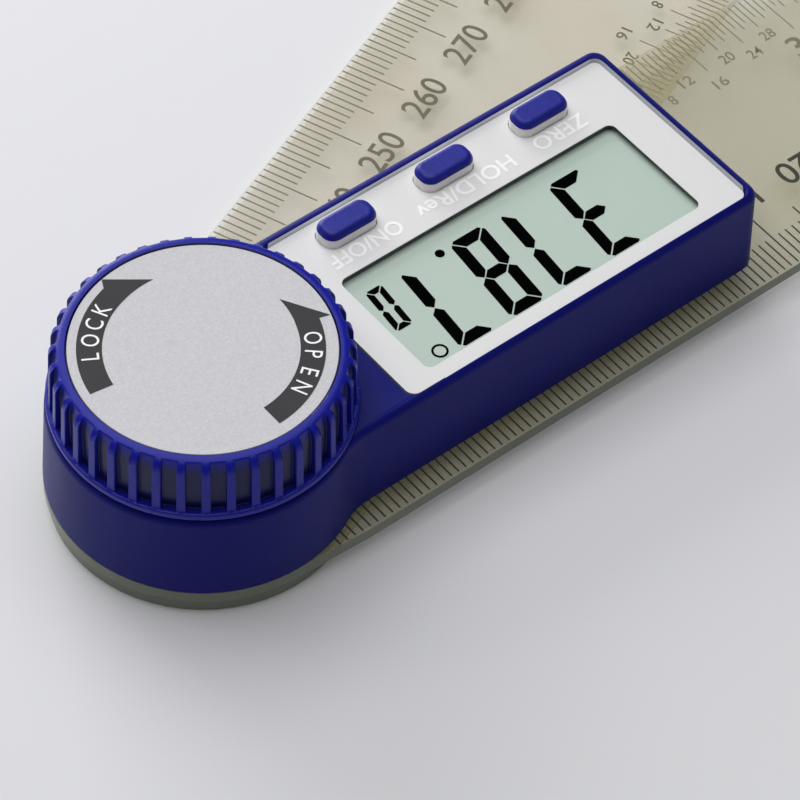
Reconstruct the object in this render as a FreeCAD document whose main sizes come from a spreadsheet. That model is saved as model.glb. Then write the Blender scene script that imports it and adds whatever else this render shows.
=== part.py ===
"""Digital angle finder: two clear ruler arms, a display case on the fixed arm and a lock knob.

The frame is in millimetres. The origin is on the pivot axis at the underside of the lower
arm, X runs along the fixed arm, Z is up. The lower arm stands at swing_angle from X.
"""
import FreeCAD, Part
import math
import os
import Sketcher

V = FreeCAD.Vector

# alias, value, what it is (millimetres and degrees)
SIZES = (
    # arms
    ("arm_thick", 1.6, "thickness of each clear arm"),
    ("arm_gap", 0.15, "film washer between the arms"),
    ("arm_reach", 205.0, "pivot axis to the far end of an arm"),
    ("arm_corner", 3.0, "corner radius at the far end of an arm"),
    ("fixed_arm_width", 35.0, "width of the arm under the case"),
    ("moving_arm_width", 34.0, "width of the lower arm"),
    ("fixed_end_radius", 17.0, "round end of the arm under the case"),
    ("moving_end_radius", 16.7, "round end of the lower arm"),
    ("end_blend", 9.0, "pivot axis to where an arm has its full width"),
    ("swing_angle", 21.8, "angle between the arms as stored"),
    # case
    ("hub_radius", 17.0, "round end of the case at its foot"),
    ("block_width", 28.8, "width of the display block at its foot"),
    ("block_reach", 66.4, "pivot axis to the block's far wall"),
    ("block_corner", 2.2, "outer corner radius of the block"),
    ("junction_radius", 7.0, "fillet where the block meets the hub"),
    ("case_height", 11.4, "foot to top edge of the case"),
    ("case_draft", 2.6, "draft angle of the outer walls"),
    ("case_wall", 1.9, "outer wall at the foot"),
    ("case_edge", 1.05, "rounding of the top edge"),
    ("cavity_corner", 0.8, "inner corner radius of the block"),
    ("roof_thick", 0.9, "roof left under the face plate"),
    ("base_thick", 1.6, "cover that closes the case"),
    ("base_gap", 0.1, "clearance of that cover in the case"),
    # face plate and window
    ("plate_start", 17.35, "pivot axis to the near edge of the face plate"),
    ("plate_length", 47.3, "length of the face plate"),
    ("plate_width", 25.45, "width of the face plate"),
    ("plate_side", -0.22, "sideways offset of the face plate"),
    ("plate_thick", 0.4, "thickness of the face plate"),
    ("plate_corner", 0.9, "corner radius of the face plate"),
    ("plate_sink", 0.6, "depth of the plate below the case's top edge"),
    ("plate_gap", 0.08, "clearance round the face plate"),
    ("recess_lean", 13.5, "lean of the recess's walls round the face plate"),
    ("window_start", 21.3, "pivot axis to the near edge of the window"),
    ("window_length", 38.4, "length of the display window"),
    ("window_width", 15.2, "width of the display window"),
    ("window_centre", -3.4, "sideways offset of the window"),
    ("window_corner", 0.9, "corner radius of the window"),
    ("pane_thick", 0.4, "clear pane over the display"),
    ("pane_gap", 0.1, "air between pane and display"),
    ("pane_margin", 0.5, "pane and display reach past the window"),
    ("lcd_thick", 2.2, "display glass"),
    ("holder_wall", 0.5, "wall of the frame round the display"),
    ("fit_gap", 0.05, "clearance between pieces that are pressed together by hand"),
    ("strip_width", 1.6, "rubber connector strip"),
    ("strip_inset", 1.2, "ends of the strips inside the display"),
    # board
    ("board_height", 3.9, "case foot to the underside of the board"),
    ("board_thick", 1.0, "circuit board"),
    ("board_half", 12.2, "half width of the board"),
    ("board_reach", 60.4, "pivot axis to the far edge of the board"),
    ("sensor_radius", 11.2, "round sensor end of the board"),
    ("sensor_bore", 5.2, "hole in the sensor end"),
    ("chip_radius", 3.8, "moulded chip on the underside of the board"),
    ("chip_height", 1.1, "its height"),
    ("chip_draft", 28.0, "slope of its side"),
    ("chip_place", 25.5, "pivot axis to the chip"),
    # screws
    ("post_radius", 1.9, "radius of every screw post"),
    ("case_screw_radius", 1.0, "case screw shank"),
    ("case_screw_head", 1.9, "case screw head radius"),
    ("case_screw_length", 8.0, "case screw, head to tip"),
    ("hub_post_ring", 13.45, "radius of the two post centres in the hub"),
    ("end_post_place", 62.7, "pivot axis to the two far posts"),
    ("end_post_side", 10.7, "sideways offset of the far posts"),
    ("board_screw_radius", 0.8, "board screw shank"),
    ("board_screw_head", 1.6, "board screw head radius"),
    ("board_screw_cap", 0.8, "board screw head height"),
    ("board_screw_length", 3.6, "board screw shank length"),
    ("board_post_place", 16.9, "pivot axis to the board posts"),
    ("board_post_side", 10.2, "sideways offset of the board posts"),
    ("bore_spare", 0.3, "bore beyond a screw's tip"),
    ("recess_width", 0.5, "width of a cross recess"),
    ("recess_depth", 0.5, "depth of a cross recess"),
    # buttons
    ("button_first", 26.65, "pivot axis to the first button"),
    ("button_pitch", 13.55, "button spacing"),
    ("button_side", 9.7, "sideways offset of the buttons"),
    ("button_length", 7.1, "button length"),
    ("button_width", 3.45, "button width"),
    ("button_corner", 1.45, "button corner radius"),
    ("button_gap", 0.08, "clearance round a button"),
    ("button_rise", 1.1, "grey button body above the face plate"),
    ("cap_height", 0.85, "blue cap on it"),
    ("cap_draft", 24.0, "lean of the cap's sides"),
    ("cap_round", 0.75, "rounding of the cap"),
    ("cap_wall", 0.7, "wall of the cap round its spigot"),
    ("spigot_height", 0.4, "spigot that carries the cap"),
    ("flange_reach", 0.6, "retaining flange past the button"),
    ("flange_thick", 0.8, "retaining flange"),
    ("stem_radius", 1.3, "button stem"),
    ("dome_radius", 2.0, "metal dome under a button"),
    ("dome_height", 0.5, "its height"),
    ("dome_metal", 0.12, "its sheet"),
    # battery
    ("battery_place", 43.0, "pivot axis to the coin cell"),
    ("cell_radius", 10.0, "coin cell radius"),
    ("cell_height", 3.2, "coin cell height"),
    ("cell_rim", 0.6, "step of the cell's small end"),
    ("cell_gap", 0.15, "clearance of the cell in its cover"),
    ("cover_floor", 0.4, "cover above the case foot, under the cell"),
    ("plug_wall", 0.85, "ring wall of the battery cover"),
    ("plug_height", 1.5, "ring of the battery cover above the case foot"),
    ("plug_gap", 0.15, "clearance of that ring in the base"),
    ("cover_rim", 1.1, "cover rim past its ring"),
    ("cover_gap", 0.3, "clearance of the cover in the arm"),
    ("lug_reach", 0.7, "bayonet lug past the ring"),
    ("lug_width", 5.0, "bayonet lug width"),
    ("lug_height", 0.7, "bayonet lug height"),
    ("ledge_height", 0.65, "ledge of the base that the lugs grip"),
    ("coin_slot_length", 12.0, "coin slot"),
    ("coin_slot_width", 1.8, "its width"),
    ("coin_slot_depth", 0.9, "its depth"),
    ("cover_turn", 45.0, "turn that frees the battery cover"),
    ("contact_metal", 0.3, "battery contact sheet"),
    ("contact_width", 4.4, "battery contact width"),
    # pivot
    ("core_radius", 8.0, "turning core of the lower arm"),
    ("core_height", 4.65, "arm to the rotor seat"),
    ("bush_wall", 1.5, "bearing ring wall"),
    ("bush_rim", 1.1, "bearing ring rim past its wall"),
    ("bush_rim_thick", 1.1, "bearing ring rim"),
    ("turn_gap", 0.04, "running clearance of the core"),
    ("film_margin", 1.5, "film washer inside the lower arm's round end"),
    ("key_radius", 3.6, "hexagonal key of the core, across its corners"),
    ("key_height", 1.1, "its height"),
    ("rotor_radius", 10.9, "sensor rotor"),
    ("rotor_thick", 0.7, "its thickness"),
    ("clip_radius", 4.6, "push-on clip"),
    ("clip_thick", 0.35, "its thickness"),
    ("core_screw_ring", 6.4, "radius of the core screws' circle"),
    ("core_screw_radius", 0.9, "core screw shank"),
    ("core_screw_head", 1.7, "core screw head radius"),
    ("core_screw_length", 4.2, "core screw, head to tip"),
    ("core_screw_count", 3, "core screws"),
    ("stud_radius", 2.5, "clamp stud"),
    ("stud_end_gap", 0.2, "stud's tip to the ceiling of the knob"),
    ("stud_head", 4.5, "hexagonal head of the stud, across its corners"),
    ("stud_head_height", 2.1, "its height"),
    ("stud_clearance", 0.3, "clearance round the stud"),
    # knob
    ("knob_lift", 0.2, "case top to the knob's lower rim"),
    ("knob_height", 7.9, "knob"),
    ("rim_radius", 16.35, "lower rim of the knob"),
    ("rim_height", 0.85, "its height"),
    ("rib_radius_low", 16.05, "ribs at the rim"),
    ("rib_radius_high", 15.8, "ribs at the top"),
    ("knob_round", 1.6, "rounding of the knob's top edge"),
    ("flute_count", 39, "flutes round the knob"),
    ("flute_width", 1.6, "flute width"),
    ("flute_floor", 15.3, "radius of the bottom of the flutes"),
    ("flute_end", 14.95, "radius where a flute runs out at the top"),
    ("flute_runout", 1.9, "height of that run-out"),
    ("knob_turn", -1.3, "turn of the first flute from the arm's line"),
    ("label_radius", 13.93, "disc set in the knob"),
    ("label_thick", 0.5, "its thickness"),
    ("label_sink", 0.12, "disc below the ring's top"),
    ("label_gap", 0.2, "gap round the disc"),
    ("knob_roof", 1.9, "knob wall under the disc"),
    ("knob_cavity", 13.7, "radius of the hollow in the knob"),
    ("boss_radius", 6.5, "boss in the knob"),
    ("insert_radius", 4.2, "threaded insert"),
    ("insert_rim", 6.0, "its flange radius"),
    ("insert_rim_thick", 0.8, "its flange"),
    ("thread_gap", 0.06, "clearance of insert and stud"),
    ("washer_thick", 0.6, "clamp washer"),
    ("washer_radius", 7.5, "its radius"),
    ("spring_thick", 0.4, "spring washer"),
    ("spring_radius", 6.2, "its radius"),
)

doc = FreeCAD.newDocument("AngleFinder")
sheet = doc.addObject("Spreadsheet::Sheet", "Dims")


def fill_sheet():
    """Write each size and its meaning into the sheet."""
    for row, (alias, size, meaning) in enumerate(SIZES, start=1):
        sheet.set("A%d" % row, meaning)
        sheet.set("B%d" % row, str(size))
        sheet.setAlias("B%d" % row, alias)
    doc.recompute()


def dim(alias):
    """Give the expression for one size in the sheet."""
    return "Dims." + alias


def total(*terms):
    """Give the expression that adds the terms."""
    return "(" + " + ".join(terms) + ")"


def less(first, *rest):
    """Give the expression that takes the rest from the first term."""
    return "(" + " - ".join((first,) + rest) + ")"


def times(term, factor):
    """Give the expression for a term times a plain factor."""
    return "(%s * %s)" % (term, factor)


def measure(expression):
    """Give an expression's present value."""
    return float(sheet.evalExpression(expression))


# Levels above the underside of the lower arm
FIXED_ARM_Z = total(dim("arm_thick"), dim("arm_gap"))
FOOT_Z = total(FIXED_ARM_Z, dim("arm_thick"))
TOP_Z = total(FOOT_Z, dim("case_height"))
PLATE_RECESS = total(dim("plate_sink"), dim("plate_thick"))
PLATE_Z = less(TOP_Z, PLATE_RECESS)
CAVITY_HEIGHT = less(dim("case_height"), PLATE_RECESS, dim("roof_thick"))
CEILING_Z = total(FOOT_Z, CAVITY_HEIGHT)
PANE_Z = less(PLATE_Z, dim("pane_thick"))
LCD_Z = less(PANE_Z, dim("pane_gap"), dim("lcd_thick"))
BOARD_Z = total(FOOT_Z, dim("board_height"))
BOARD_TOP_Z = total(BOARD_Z, dim("board_thick"))
CELL_Z = total(FOOT_Z, dim("cover_floor"))
CELL_TOP_Z = total(CELL_Z, dim("cell_height"))
ROTOR_Z = total(dim("arm_thick"), dim("core_height"))
CLIP_Z = total(ROTOR_Z, dim("rotor_thick"))
KNOB_Z = total(TOP_Z, dim("knob_lift"))
SPRING_Z = total(TOP_Z, dim("washer_thick"))
INSERT_Z = total(SPRING_Z, dim("spring_thick"))
LABEL_FLOOR = less(dim("knob_height"), dim("label_sink"), dim("label_thick"))
KNOB_CEILING = less(LABEL_FLOOR, dim("knob_roof"))

# Window, buttons and other places in plan
WINDOW_BOX = (dim("window_start"), total(dim("window_start"), dim("window_length")),
              less(dim("window_centre"), times(dim("window_width"), 0.5)),
              total(dim("window_centre"), times(dim("window_width"), 0.5)))
BUTTON_NAMES = ("on_off", "hold", "zero")
BUTTON_PLACES = [total(dim("button_first"), times(dim("button_pitch"), step)) for step in range(3)]
HUB_POST = times(dim("hub_post_ring"), "sqrt(0.5)")
HUB_POSTS = [("-" + HUB_POST, sign + HUB_POST) for sign in ("", "-")]
END_POSTS = [(dim("end_post_place"), sign + dim("end_post_side")) for sign in ("", "-")]
CASE_POSTS = HUB_POSTS + END_POSTS
BOARD_POSTS = [(dim("board_post_place"), sign + dim("board_post_side")) for sign in ("", "-")]
BUSH_RADIUS = total(dim("core_radius"), dim("turn_gap"), dim("bush_wall"))
PLUG_INNER = total(dim("cell_radius"), dim("cell_gap"))
PLUG_RADIUS = total(PLUG_INNER, dim("plug_wall"))
COVER_RADIUS = total(PLUG_RADIUS, dim("cover_rim"))
LUG_RADIUS = total(PLUG_RADIUS, dim("lug_reach"))
OPENING_RADIUS = total(PLUG_RADIUS, dim("plug_gap"))
GROOVE_RADIUS = total(LUG_RADIUS, dim("plug_gap"))
STUD_HOLE = total(dim("stud_radius"), dim("stud_clearance"))


# ---- sketches -------------------------------------------------------------------------

def origin_feature(body, role):
    """Find one of a body's own origin planes or axes."""
    return [item for item in body.Origin.OriginFeatures if item.Role == role][0]


def new_sketch(body, name, plane="XY_Plane", height="0"):
    """Start a sketch on an origin plane of the body, raised by height."""
    sketch = body.newObject("Sketcher::SketchObject", name)
    sketch.AttachmentSupport = [(origin_feature(body, plane), "")]
    sketch.MapMode = "FlatFace"
    sketch.setExpression("AttachmentOffset.Base.z", height)
    return sketch


def bind(sketch, kind, name, arguments, expression):
    """Add a dimension and bind it to an expression."""
    number = sketch.addConstraint(Sketcher.Constraint(kind, *arguments, measure(expression)))
    sketch.renameConstraint(number, name)
    sketch.setExpression("Constraints." + name, expression)


def pin_point(sketch, geometry, position, place):
    """Fix a point of the sketch at a place given by two expressions."""
    tag = "%d_%d" % (geometry, position)
    bind(sketch, "DistanceX", "across_" + tag, (-1, 1, geometry, position), place[0])
    bind(sketch, "DistanceY", "along_" + tag, (-1, 1, geometry, position), place[1])


def add_arc(sketch, start, end, radius, turn):
    """Add the arc from start to end; turn is 1 when it runs anticlockwise, else -1."""
    chord = end - start
    rise = math.sqrt(max(radius ** 2 - (chord.Length / 2) ** 2, 0.0))
    side = V(-chord.y, chord.x, 0).normalize() * rise * turn
    centre = start + chord * 0.5 + side
    first, last = (start, end) if turn > 0 else (end, start)
    begin = math.atan2(first.y - centre.y, first.x - centre.x)
    finish = math.atan2(last.y - centre.y, last.x - centre.x)
    if finish < begin:
        finish += 2 * math.pi
    return sketch.addGeometry(Part.ArcOfCircle(Part.Circle(centre, V(0, 0, 1), radius), begin, finish))


def add_outline(sketch, corners):
    """Draw a closed outline.

    A corner is (x, y), or (x, y, radius, turn) when an arc leaves it for the next corner.
    """
    points = [V(measure(corner[0]), measure(corner[1]), 0) for corner in corners]
    pieces = []
    for index, corner in enumerate(corners):
        start, end = points[index], points[(index + 1) % len(points)]
        if len(corner) == 2:
            pieces.append((sketch.addGeometry(Part.LineSegment(start, end)), 1, 2))
            continue
        turn = corner[3]
        number = add_arc(sketch, start, end, measure(corner[2]), turn)
        pieces.append((number, 1, 2) if turn > 0 else (number, 2, 1))
    for index, (number, first, last) in enumerate(pieces):
        following = pieces[(index + 1) % len(pieces)]
        sketch.addConstraint(Sketcher.Constraint("Coincident", number, last, following[0], following[1]))
        pin_point(sketch, number, first, corners[index])
    for corner, (number, first, last) in zip(corners, pieces):
        if len(corner) == 4:
            bind(sketch, "Radius", "radius_%d" % number, (number,), corner[2])


def add_circle(sketch, place, radius):
    """Draw a circle at a place given by two expressions."""
    centre = V(measure(place[0]), measure(place[1]), 0)
    number = sketch.addGeometry(Part.Circle(centre, V(0, 0, 1), measure(radius)))
    pin_point(sketch, number, 3, place)
    bind(sketch, "Radius", "radius_%d" % number, (number,), radius)


def outline(body, name, corners, plane="XY_Plane", height="0"):
    """Make a sketch of one closed outline."""
    sketch = new_sketch(body, name, plane, height)
    add_outline(sketch, corners)
    return sketch


def circles(body, name, places, radius, height="0"):
    """Make a sketch of equal circles."""
    sketch = new_sketch(body, name, height=height)
    for place in places:
        add_circle(sketch, place, radius)
    return sketch


def ring(body, name, outer, inner, height="0"):
    """Make a sketch of two circles round the origin."""
    sketch = circles(body, name, [("0", "0")], outer, height)
    add_circle(sketch, ("0", "0"), inner)
    return sketch


def rectangle_corners(box, corner):
    """List the corners of a box (low x, high x, low y, high y) with rounded corners."""
    low_x, high_x, low_y, high_y = box
    return [(total(low_x, corner), low_y), (less(high_x, corner), low_y, corner, 1),
            (high_x, total(low_y, corner)), (high_x, less(high_y, corner), corner, 1),
            (less(high_x, corner), high_y), (total(low_x, corner), high_y, corner, 1),
            (low_x, less(high_y, corner)), (low_x, total(low_y, corner), corner, 1)]


def grow_box(box, margin):
    """Widen a box by a margin on every side."""
    low_x, high_x, low_y, high_y = box
    return (less(low_x, margin), total(high_x, margin), less(low_y, margin), total(high_y, margin))


def centred_box(x, y, length, width):
    """Give the box of a length and width round a place."""
    return (less(x, times(length, 0.5)), total(x, times(length, 0.5)),
            less(y, times(width, 0.5)), total(y, times(width, 0.5)))


def square_corners(box):
    """List the corners of a plain box."""
    low_x, high_x, low_y, high_y = box
    return [(low_x, low_y), (high_x, low_y), (high_x, high_y), (low_x, high_y)]


def hexagon_corners(radius):
    """List the corners of a hexagon round the origin."""
    return [(times(radius, "cos(%d deg)" % angle), times(radius, "sin(%d deg)" % angle))
            for angle in range(0, 360, 60)]


def case_corners(inset, corner):
    """List the corners of the case's outline, moved inwards by inset."""
    hub = less(dim("hub_radius"), inset)
    half = less(times(dim("block_width"), 0.5), inset)
    reach = less(dim("block_reach"), inset)
    fillet = total(dim("junction_radius"), inset)
    centre_y = total(half, fillet)
    centre_x = "sqrt(%s^2 - %s^2)" % (total(hub, fillet), centre_y)
    share = "(%s / %s)" % (hub, total(hub, fillet))
    touch_x, touch_y = times(share, centre_x), times(share, centre_y)
    return [("-" + hub, "0", hub, 1), (touch_x, "-" + touch_y, fillet, -1), (centre_x, "-" + half),
            (less(reach, corner), "-" + half, corner, 1), (reach, less(corner, half)),
            (reach, less(half, corner), corner, 1), (less(reach, corner), half),
            (centre_x, half, fillet, -1), (touch_x, touch_y, hub, 1)]


def arm_corners(width, end):
    """List the corners of an arm: round at the pivot, square at the far end."""
    half = times(width, 0.5)
    reach, corner, blend = dim("arm_reach"), dim("arm_corner"), dim("end_blend")
    return [("-" + end, "0", end, 1), ("0", "-" + end), (blend, "-" + half),
            (less(reach, corner), "-" + half, corner, 1), (reach, less(corner, half)),
            (reach, less(half, corner), corner, 1), (less(reach, corner), half), (blend, half), ("0", end, end, 1)]


# ---- features -------------------------------------------------------------------------

def sub_part(label, level="0", turned=False):
    """Start a body at a level; a turned body stands at the lower arm's angle."""
    body = doc.addObject("PartDesign::Body", label)
    body.Label = label
    body.setExpression("Placement.Base.z", level)
    if turned:
        body.setExpression("Placement.Rotation.Angle", dim("swing_angle"))
    return body


def add_feature(body, kind, sketch, removes):
    """Add a sketched feature to the body; the caller sets its size and calls settle."""
    solid_before = body.Shape.Volume if removes else 0.0
    feature = body.newObject("PartDesign::" + kind, sketch.Name + kind)
    feature.Profile = sketch
    return feature, solid_before


def settle(body, feature, solid_before, removes):
    """Recompute and make sure that a cut took material away."""
    doc.recompute()
    if "Invalid" in feature.State:
        raise RuntimeError("%s fails in %s" % (feature.Name, body.Label))
    if removes and body.Shape.Volume > solid_before - 1e-6:
        raise RuntimeError("%s cuts nothing from %s" % (feature.Name, body.Label))
    return feature


def pad(body, sketch, length, down=False, taper=None):
    """Raise a sketch by a length, or lower it, with an optional taper angle."""
    feature, before = add_feature(body, "Pad", sketch, False)
    feature.setExpression("Length", length)
    feature.Reversed = down
    if taper:
        feature.setExpression("TaperAngle", taper)
    return settle(body, feature, before, False)


def pocket(body, sketch, length, up=False, taper=None):
    """Cut a sketch downwards by a length, or upwards."""
    feature, before = add_feature(body, "Pocket", sketch, True)
    feature.setExpression("Length", length)
    feature.Reversed = up
    if taper:
        feature.setExpression("TaperAngle", taper)
    return settle(body, feature, before, True)


def revolve(body, sketch, cut=False):
    """Turn a sketch of the XZ plane round the body's Z axis."""
    feature, before = add_feature(body, "Groove" if cut else "Revolution", sketch, cut)
    feature.ReferenceAxis = (sketch, ["V_Axis"])
    feature.Angle = 360
    return settle(body, feature, before, cut)


def repeat_round(body, feature, count):
    """Repeat a feature round the body's Z axis."""
    pattern = body.newObject("PartDesign::PolarPattern", feature.Name + "Round")
    pattern.Originals = [feature]
    pattern.Axis = (origin_feature(body, "Z_Axis"), [""])
    pattern.Angle = 360
    pattern.setExpression("Occurrences", count)
    body.Tip = pattern
    doc.recompute()
    return pattern


def round_edges(body, test, radius, kind="Fillet"):
    """Round or bevel the edges of the body's last feature that pass a test."""
    base = body.Tip
    names = ["Edge%d" % (number + 1) for number, edge in enumerate(base.Shape.Edges) if test(edge)]
    if not names:
        raise RuntimeError("no edge to round on " + body.Label)
    feature = body.newObject("PartDesign::" + kind, body.Label.replace("_", "") + kind)
    feature.Base = (base, names)
    feature.setExpression("Radius" if kind == "Fillet" else "Size", radius)
    return settle(body, feature, 0.0, False)


def lies_at(level):
    """Give a test for edges that lie flat at a level of the body."""
    height = measure(level)
    return lambda edge: max(abs(vertex.Z - height) for vertex in edge.Vertexes) < 1e-4


def crosses(body, name, places, height="0"):
    """Make a sketch of cross recesses."""
    sketch = new_sketch(body, name, height=height)
    half, arm = times(dim("recess_width"), 0.5), dim("recess_width")
    reach = times(arm, 1.8)
    for x, y in places:
        steps = [(half, half), (reach, half), (reach, "-" + half), (half, "-" + half),
                 (half, "-" + reach), ("-" + half, "-" + reach), ("-" + half, "-" + half),
                 ("-" + reach, "-" + half), ("-" + reach, half), ("-" + half, half),
                 ("-" + half, reach), (half, reach)]
        add_outline(sketch, [(total(x, step_x), total(y, step_y)) for step_x, step_y in steps])
    return sketch


def countersunk_screws(body, places, head, shank, length):
    """Build countersunk screws with their heads at the body's underside."""
    cone = less(head, shank)
    pad(body, circles(body, "Heads", places, head), cone, taper="-45")
    pad(body, circles(body, "Shanks", places, shank), length)
    pocket(body, crosses(body, "Recesses", places), dim("recess_depth"), up=True)


def countersunk_holes(body, places, head, shank, depth):
    """Cut clearance holes with countersinks from the body's underside."""
    wide = total(head, dim("fit_gap"))
    narrow = total(shank, dim("fit_gap"))
    pocket(body, circles(body, "Holes", places, narrow), depth, up=True)
    pocket(body, circles(body, "Sinks", places, wide), less(wide, narrow), up=True, taper="-45")


# ---- arms -----------------------------------------------------------------------------

def fixed_arm():
    """Build the clear arm under the case."""
    body = sub_part("fixed_arm", FIXED_ARM_Z)
    pad(body, outline(body, "Arm", arm_corners(dim("fixed_arm_width"), dim("fixed_end_radius"))), dim("arm_thick"))
    hub_hole = circles(body, "HubHole", [("0", "0")], total(BUSH_RADIUS, dim("fit_gap")))
    pocket(body, hub_hole, dim("arm_thick"), up=True)
    cover_hole = circles(body, "CoverHole", [(dim("battery_place"), "0")], total(COVER_RADIUS, dim("cover_gap")))
    pocket(body, cover_hole, dim("arm_thick"), up=True)
    countersunk_holes(body, CASE_POSTS, dim("case_screw_head"), dim("case_screw_radius"), dim("arm_thick"))


def moving_arm():
    """Build the clear lower arm."""
    body = sub_part("moving_arm", turned=True)
    pad(body, outline(body, "Arm", arm_corners(dim("moving_arm_width"), dim("moving_end_radius"))), dim("arm_thick"))
    wide = total(dim("core_screw_head"), dim("fit_gap"))
    narrow = total(dim("core_screw_radius"), dim("fit_gap"))
    place = [(dim("core_screw_ring"), "0")]
    hole = pocket(body, circles(body, "Hole", place, narrow), dim("arm_thick"), up=True)
    repeat_round(body, hole, dim("core_screw_count"))
    sink = pocket(body, circles(body, "Sink", place, wide), less(wide, narrow), up=True, taper="-45")
    repeat_round(body, sink, dim("core_screw_count"))


def friction_film():
    """Build the thin washer between the arms."""
    body = sub_part("friction_washer", dim("arm_thick"))
    inner = total(BUSH_RADIUS, dim("stud_clearance"))
    outer = less(dim("moving_end_radius"), dim("film_margin"))
    pad(body, ring(body, "Film", outer, inner), dim("arm_gap"))


# ---- case -----------------------------------------------------------------------------

def upper_case():
    """Build the blue shell of hub and display block."""
    body = sub_part("upper_case", FOOT_Z)
    outer = outline(body, "Outer", case_corners("0", dim("block_corner")))
    pad(body, outer, dim("case_height"), taper="-" + dim("case_draft"))
    round_edges(body, lies_at(dim("case_height")), dim("case_edge"))
    cavity = outline(body, "Cavity", case_corners(dim("case_wall"), dim("cavity_corner")))
    pocket(body, cavity, CAVITY_HEIGHT, up=True)
    cut_face(body)
    add_posts(body)
    stud_hole = circles(body, "StudHole", [("0", "0")], STUD_HOLE, dim("case_height"))
    pocket(body, stud_hole, dim("case_height"))


def plate_box():
    """Give the face plate's box."""
    half, side = times(dim("plate_width"), 0.5), dim("plate_side")
    return (dim("plate_start"), total(dim("plate_start"), dim("plate_length")), less(side, half), total(side, half))


def cut_face(body):
    """Cut the recess for the face plate, the opening for the pane and the button holes."""
    margin = total(dim("plate_gap"), times(PLATE_RECESS, "tan(%s * 1 deg)" % dim("recess_lean")))
    corners = rectangle_corners(grow_box(plate_box(), margin), total(dim("plate_corner"), margin))
    recess = outline(body, "Recess", corners, height=dim("case_height"))
    pocket(body, recess, PLATE_RECESS, taper="-" + dim("recess_lean"))
    floor = less(dim("case_height"), PLATE_RECESS)
    room = grow_box(WINDOW_BOX, total(dim("pane_margin"), dim("fit_gap")))
    pocket(body, outline(body, "Window", square_corners(room), height=floor), dim("roof_thick"))
    pocket(body, button_holes(body, floor), dim("roof_thick"))


def button_holes(body, height="0"):
    """Make the sketch of the three button holes."""
    sketch = new_sketch(body, "ButtonHoles", height=height)
    corner = total(dim("button_corner"), dim("button_gap"))
    for place in BUTTON_PLACES:
        box = centred_box(place, dim("button_side"), dim("button_length"), dim("button_width"))
        add_outline(sketch, rectangle_corners(grow_box(box, dim("button_gap")), corner))
    return sketch


def add_posts(body):
    """Add the screw posts under the roof and bore them."""
    case_posts = circles(body, "CasePosts", CASE_POSTS, dim("post_radius"), CAVITY_HEIGHT)
    pad(body, case_posts, less(CAVITY_HEIGHT, dim("base_thick")), down=True)
    board_posts = circles(body, "BoardPosts", BOARD_POSTS, dim("post_radius"), CAVITY_HEIGHT)
    board_level = total(dim("board_height"), dim("board_thick"))
    pad(body, board_posts, less(CAVITY_HEIGHT, board_level), down=True)
    case_bore = total(dim("case_screw_radius"), dim("fit_gap"))
    bores = circles(body, "CaseBores", CASE_POSTS, case_bore, dim("base_thick"))
    in_post = less(dim("case_screw_length"), dim("arm_thick"), dim("base_thick"))
    pocket(body, bores, total(in_post, dim("bore_spare")), up=True)
    board_bore = total(dim("board_screw_radius"), dim("fit_gap"))
    bores = circles(body, "BoardBores", BOARD_POSTS, board_bore, board_level)
    in_post = less(dim("board_screw_length"), dim("board_thick"))
    pocket(body, bores, total(in_post, dim("bore_spare")), up=True)


def base_cover():
    """Build the cover that closes the case and holds the battery cover's bayonet."""
    body = sub_part("base_cover", FOOT_Z)
    inset = total(dim("case_wall"), dim("base_gap"))
    pad(body, outline(body, "Base", case_corners(inset, dim("cavity_corner"))), dim("base_thick"))
    hub_hole = circles(body, "HubHole", [("0", "0")], total(BUSH_RADIUS, dim("fit_gap")))
    pocket(body, hub_hole, dim("base_thick"), up=True)
    place = [(dim("battery_place"), "0")]
    pocket(body, circles(body, "Opening", place, OPENING_RADIUS), dim("base_thick"), up=True)
    groove = circles(body, "Groove", place, GROOVE_RADIUS, dim("ledge_height"))
    pocket(body, groove, less(dim("base_thick"), dim("ledge_height")), up=True)
    pocket(body, lug_notches(body), dim("ledge_height"), up=True)
    screw_hole = total(dim("case_screw_radius"), dim("fit_gap"))
    pocket(body, circles(body, "ScrewHoles", CASE_POSTS, screw_hole), dim("base_thick"), up=True)


def lug_notches(body):
    """Make the sketch of the two notches that the lugs pass once the cover is turned."""
    half_width = total(times(dim("lug_width"), 0.5), dim("plug_gap"))
    cosine, sine = "cos(%s * 1 deg)" % dim("cover_turn"), "sin(%s * 1 deg)" % dim("cover_turn")
    corners = []
    for along, side in (("-", "-"), ("", "-"), ("", ""), ("-", "")):
        reach, width = along + GROOVE_RADIUS, side + half_width
        x = "(%s + %s * %s - %s * %s)" % (dim("battery_place"), reach, cosine, width, sine)
        y = "(%s * %s + %s * %s)" % (reach, sine, width, cosine)
        corners.append((x, y))
    return outline(body, "Notches", corners)


def case_screws():
    """Build the four screws that hold the arm, the base and the case."""
    body = sub_part("case_screws", FIXED_ARM_Z)
    countersunk_screws(body, CASE_POSTS, dim("case_screw_head"), dim("case_screw_radius"),
                       dim("case_screw_length"))


def face_plate():
    """Build the thin plate with the window and button openings."""
    body = sub_part("face_plate", PLATE_Z)
    pad(body, outline(body, "Plate", rectangle_corners(plate_box(), dim("plate_corner"))), dim("plate_thick"))
    window = outline(body, "Window", rectangle_corners(WINDOW_BOX, dim("window_corner")))
    pocket(body, window, dim("plate_thick"), up=True)
    pocket(body, button_holes(body), dim("plate_thick"), up=True)


# ---- display and board ----------------------------------------------------------------

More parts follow.
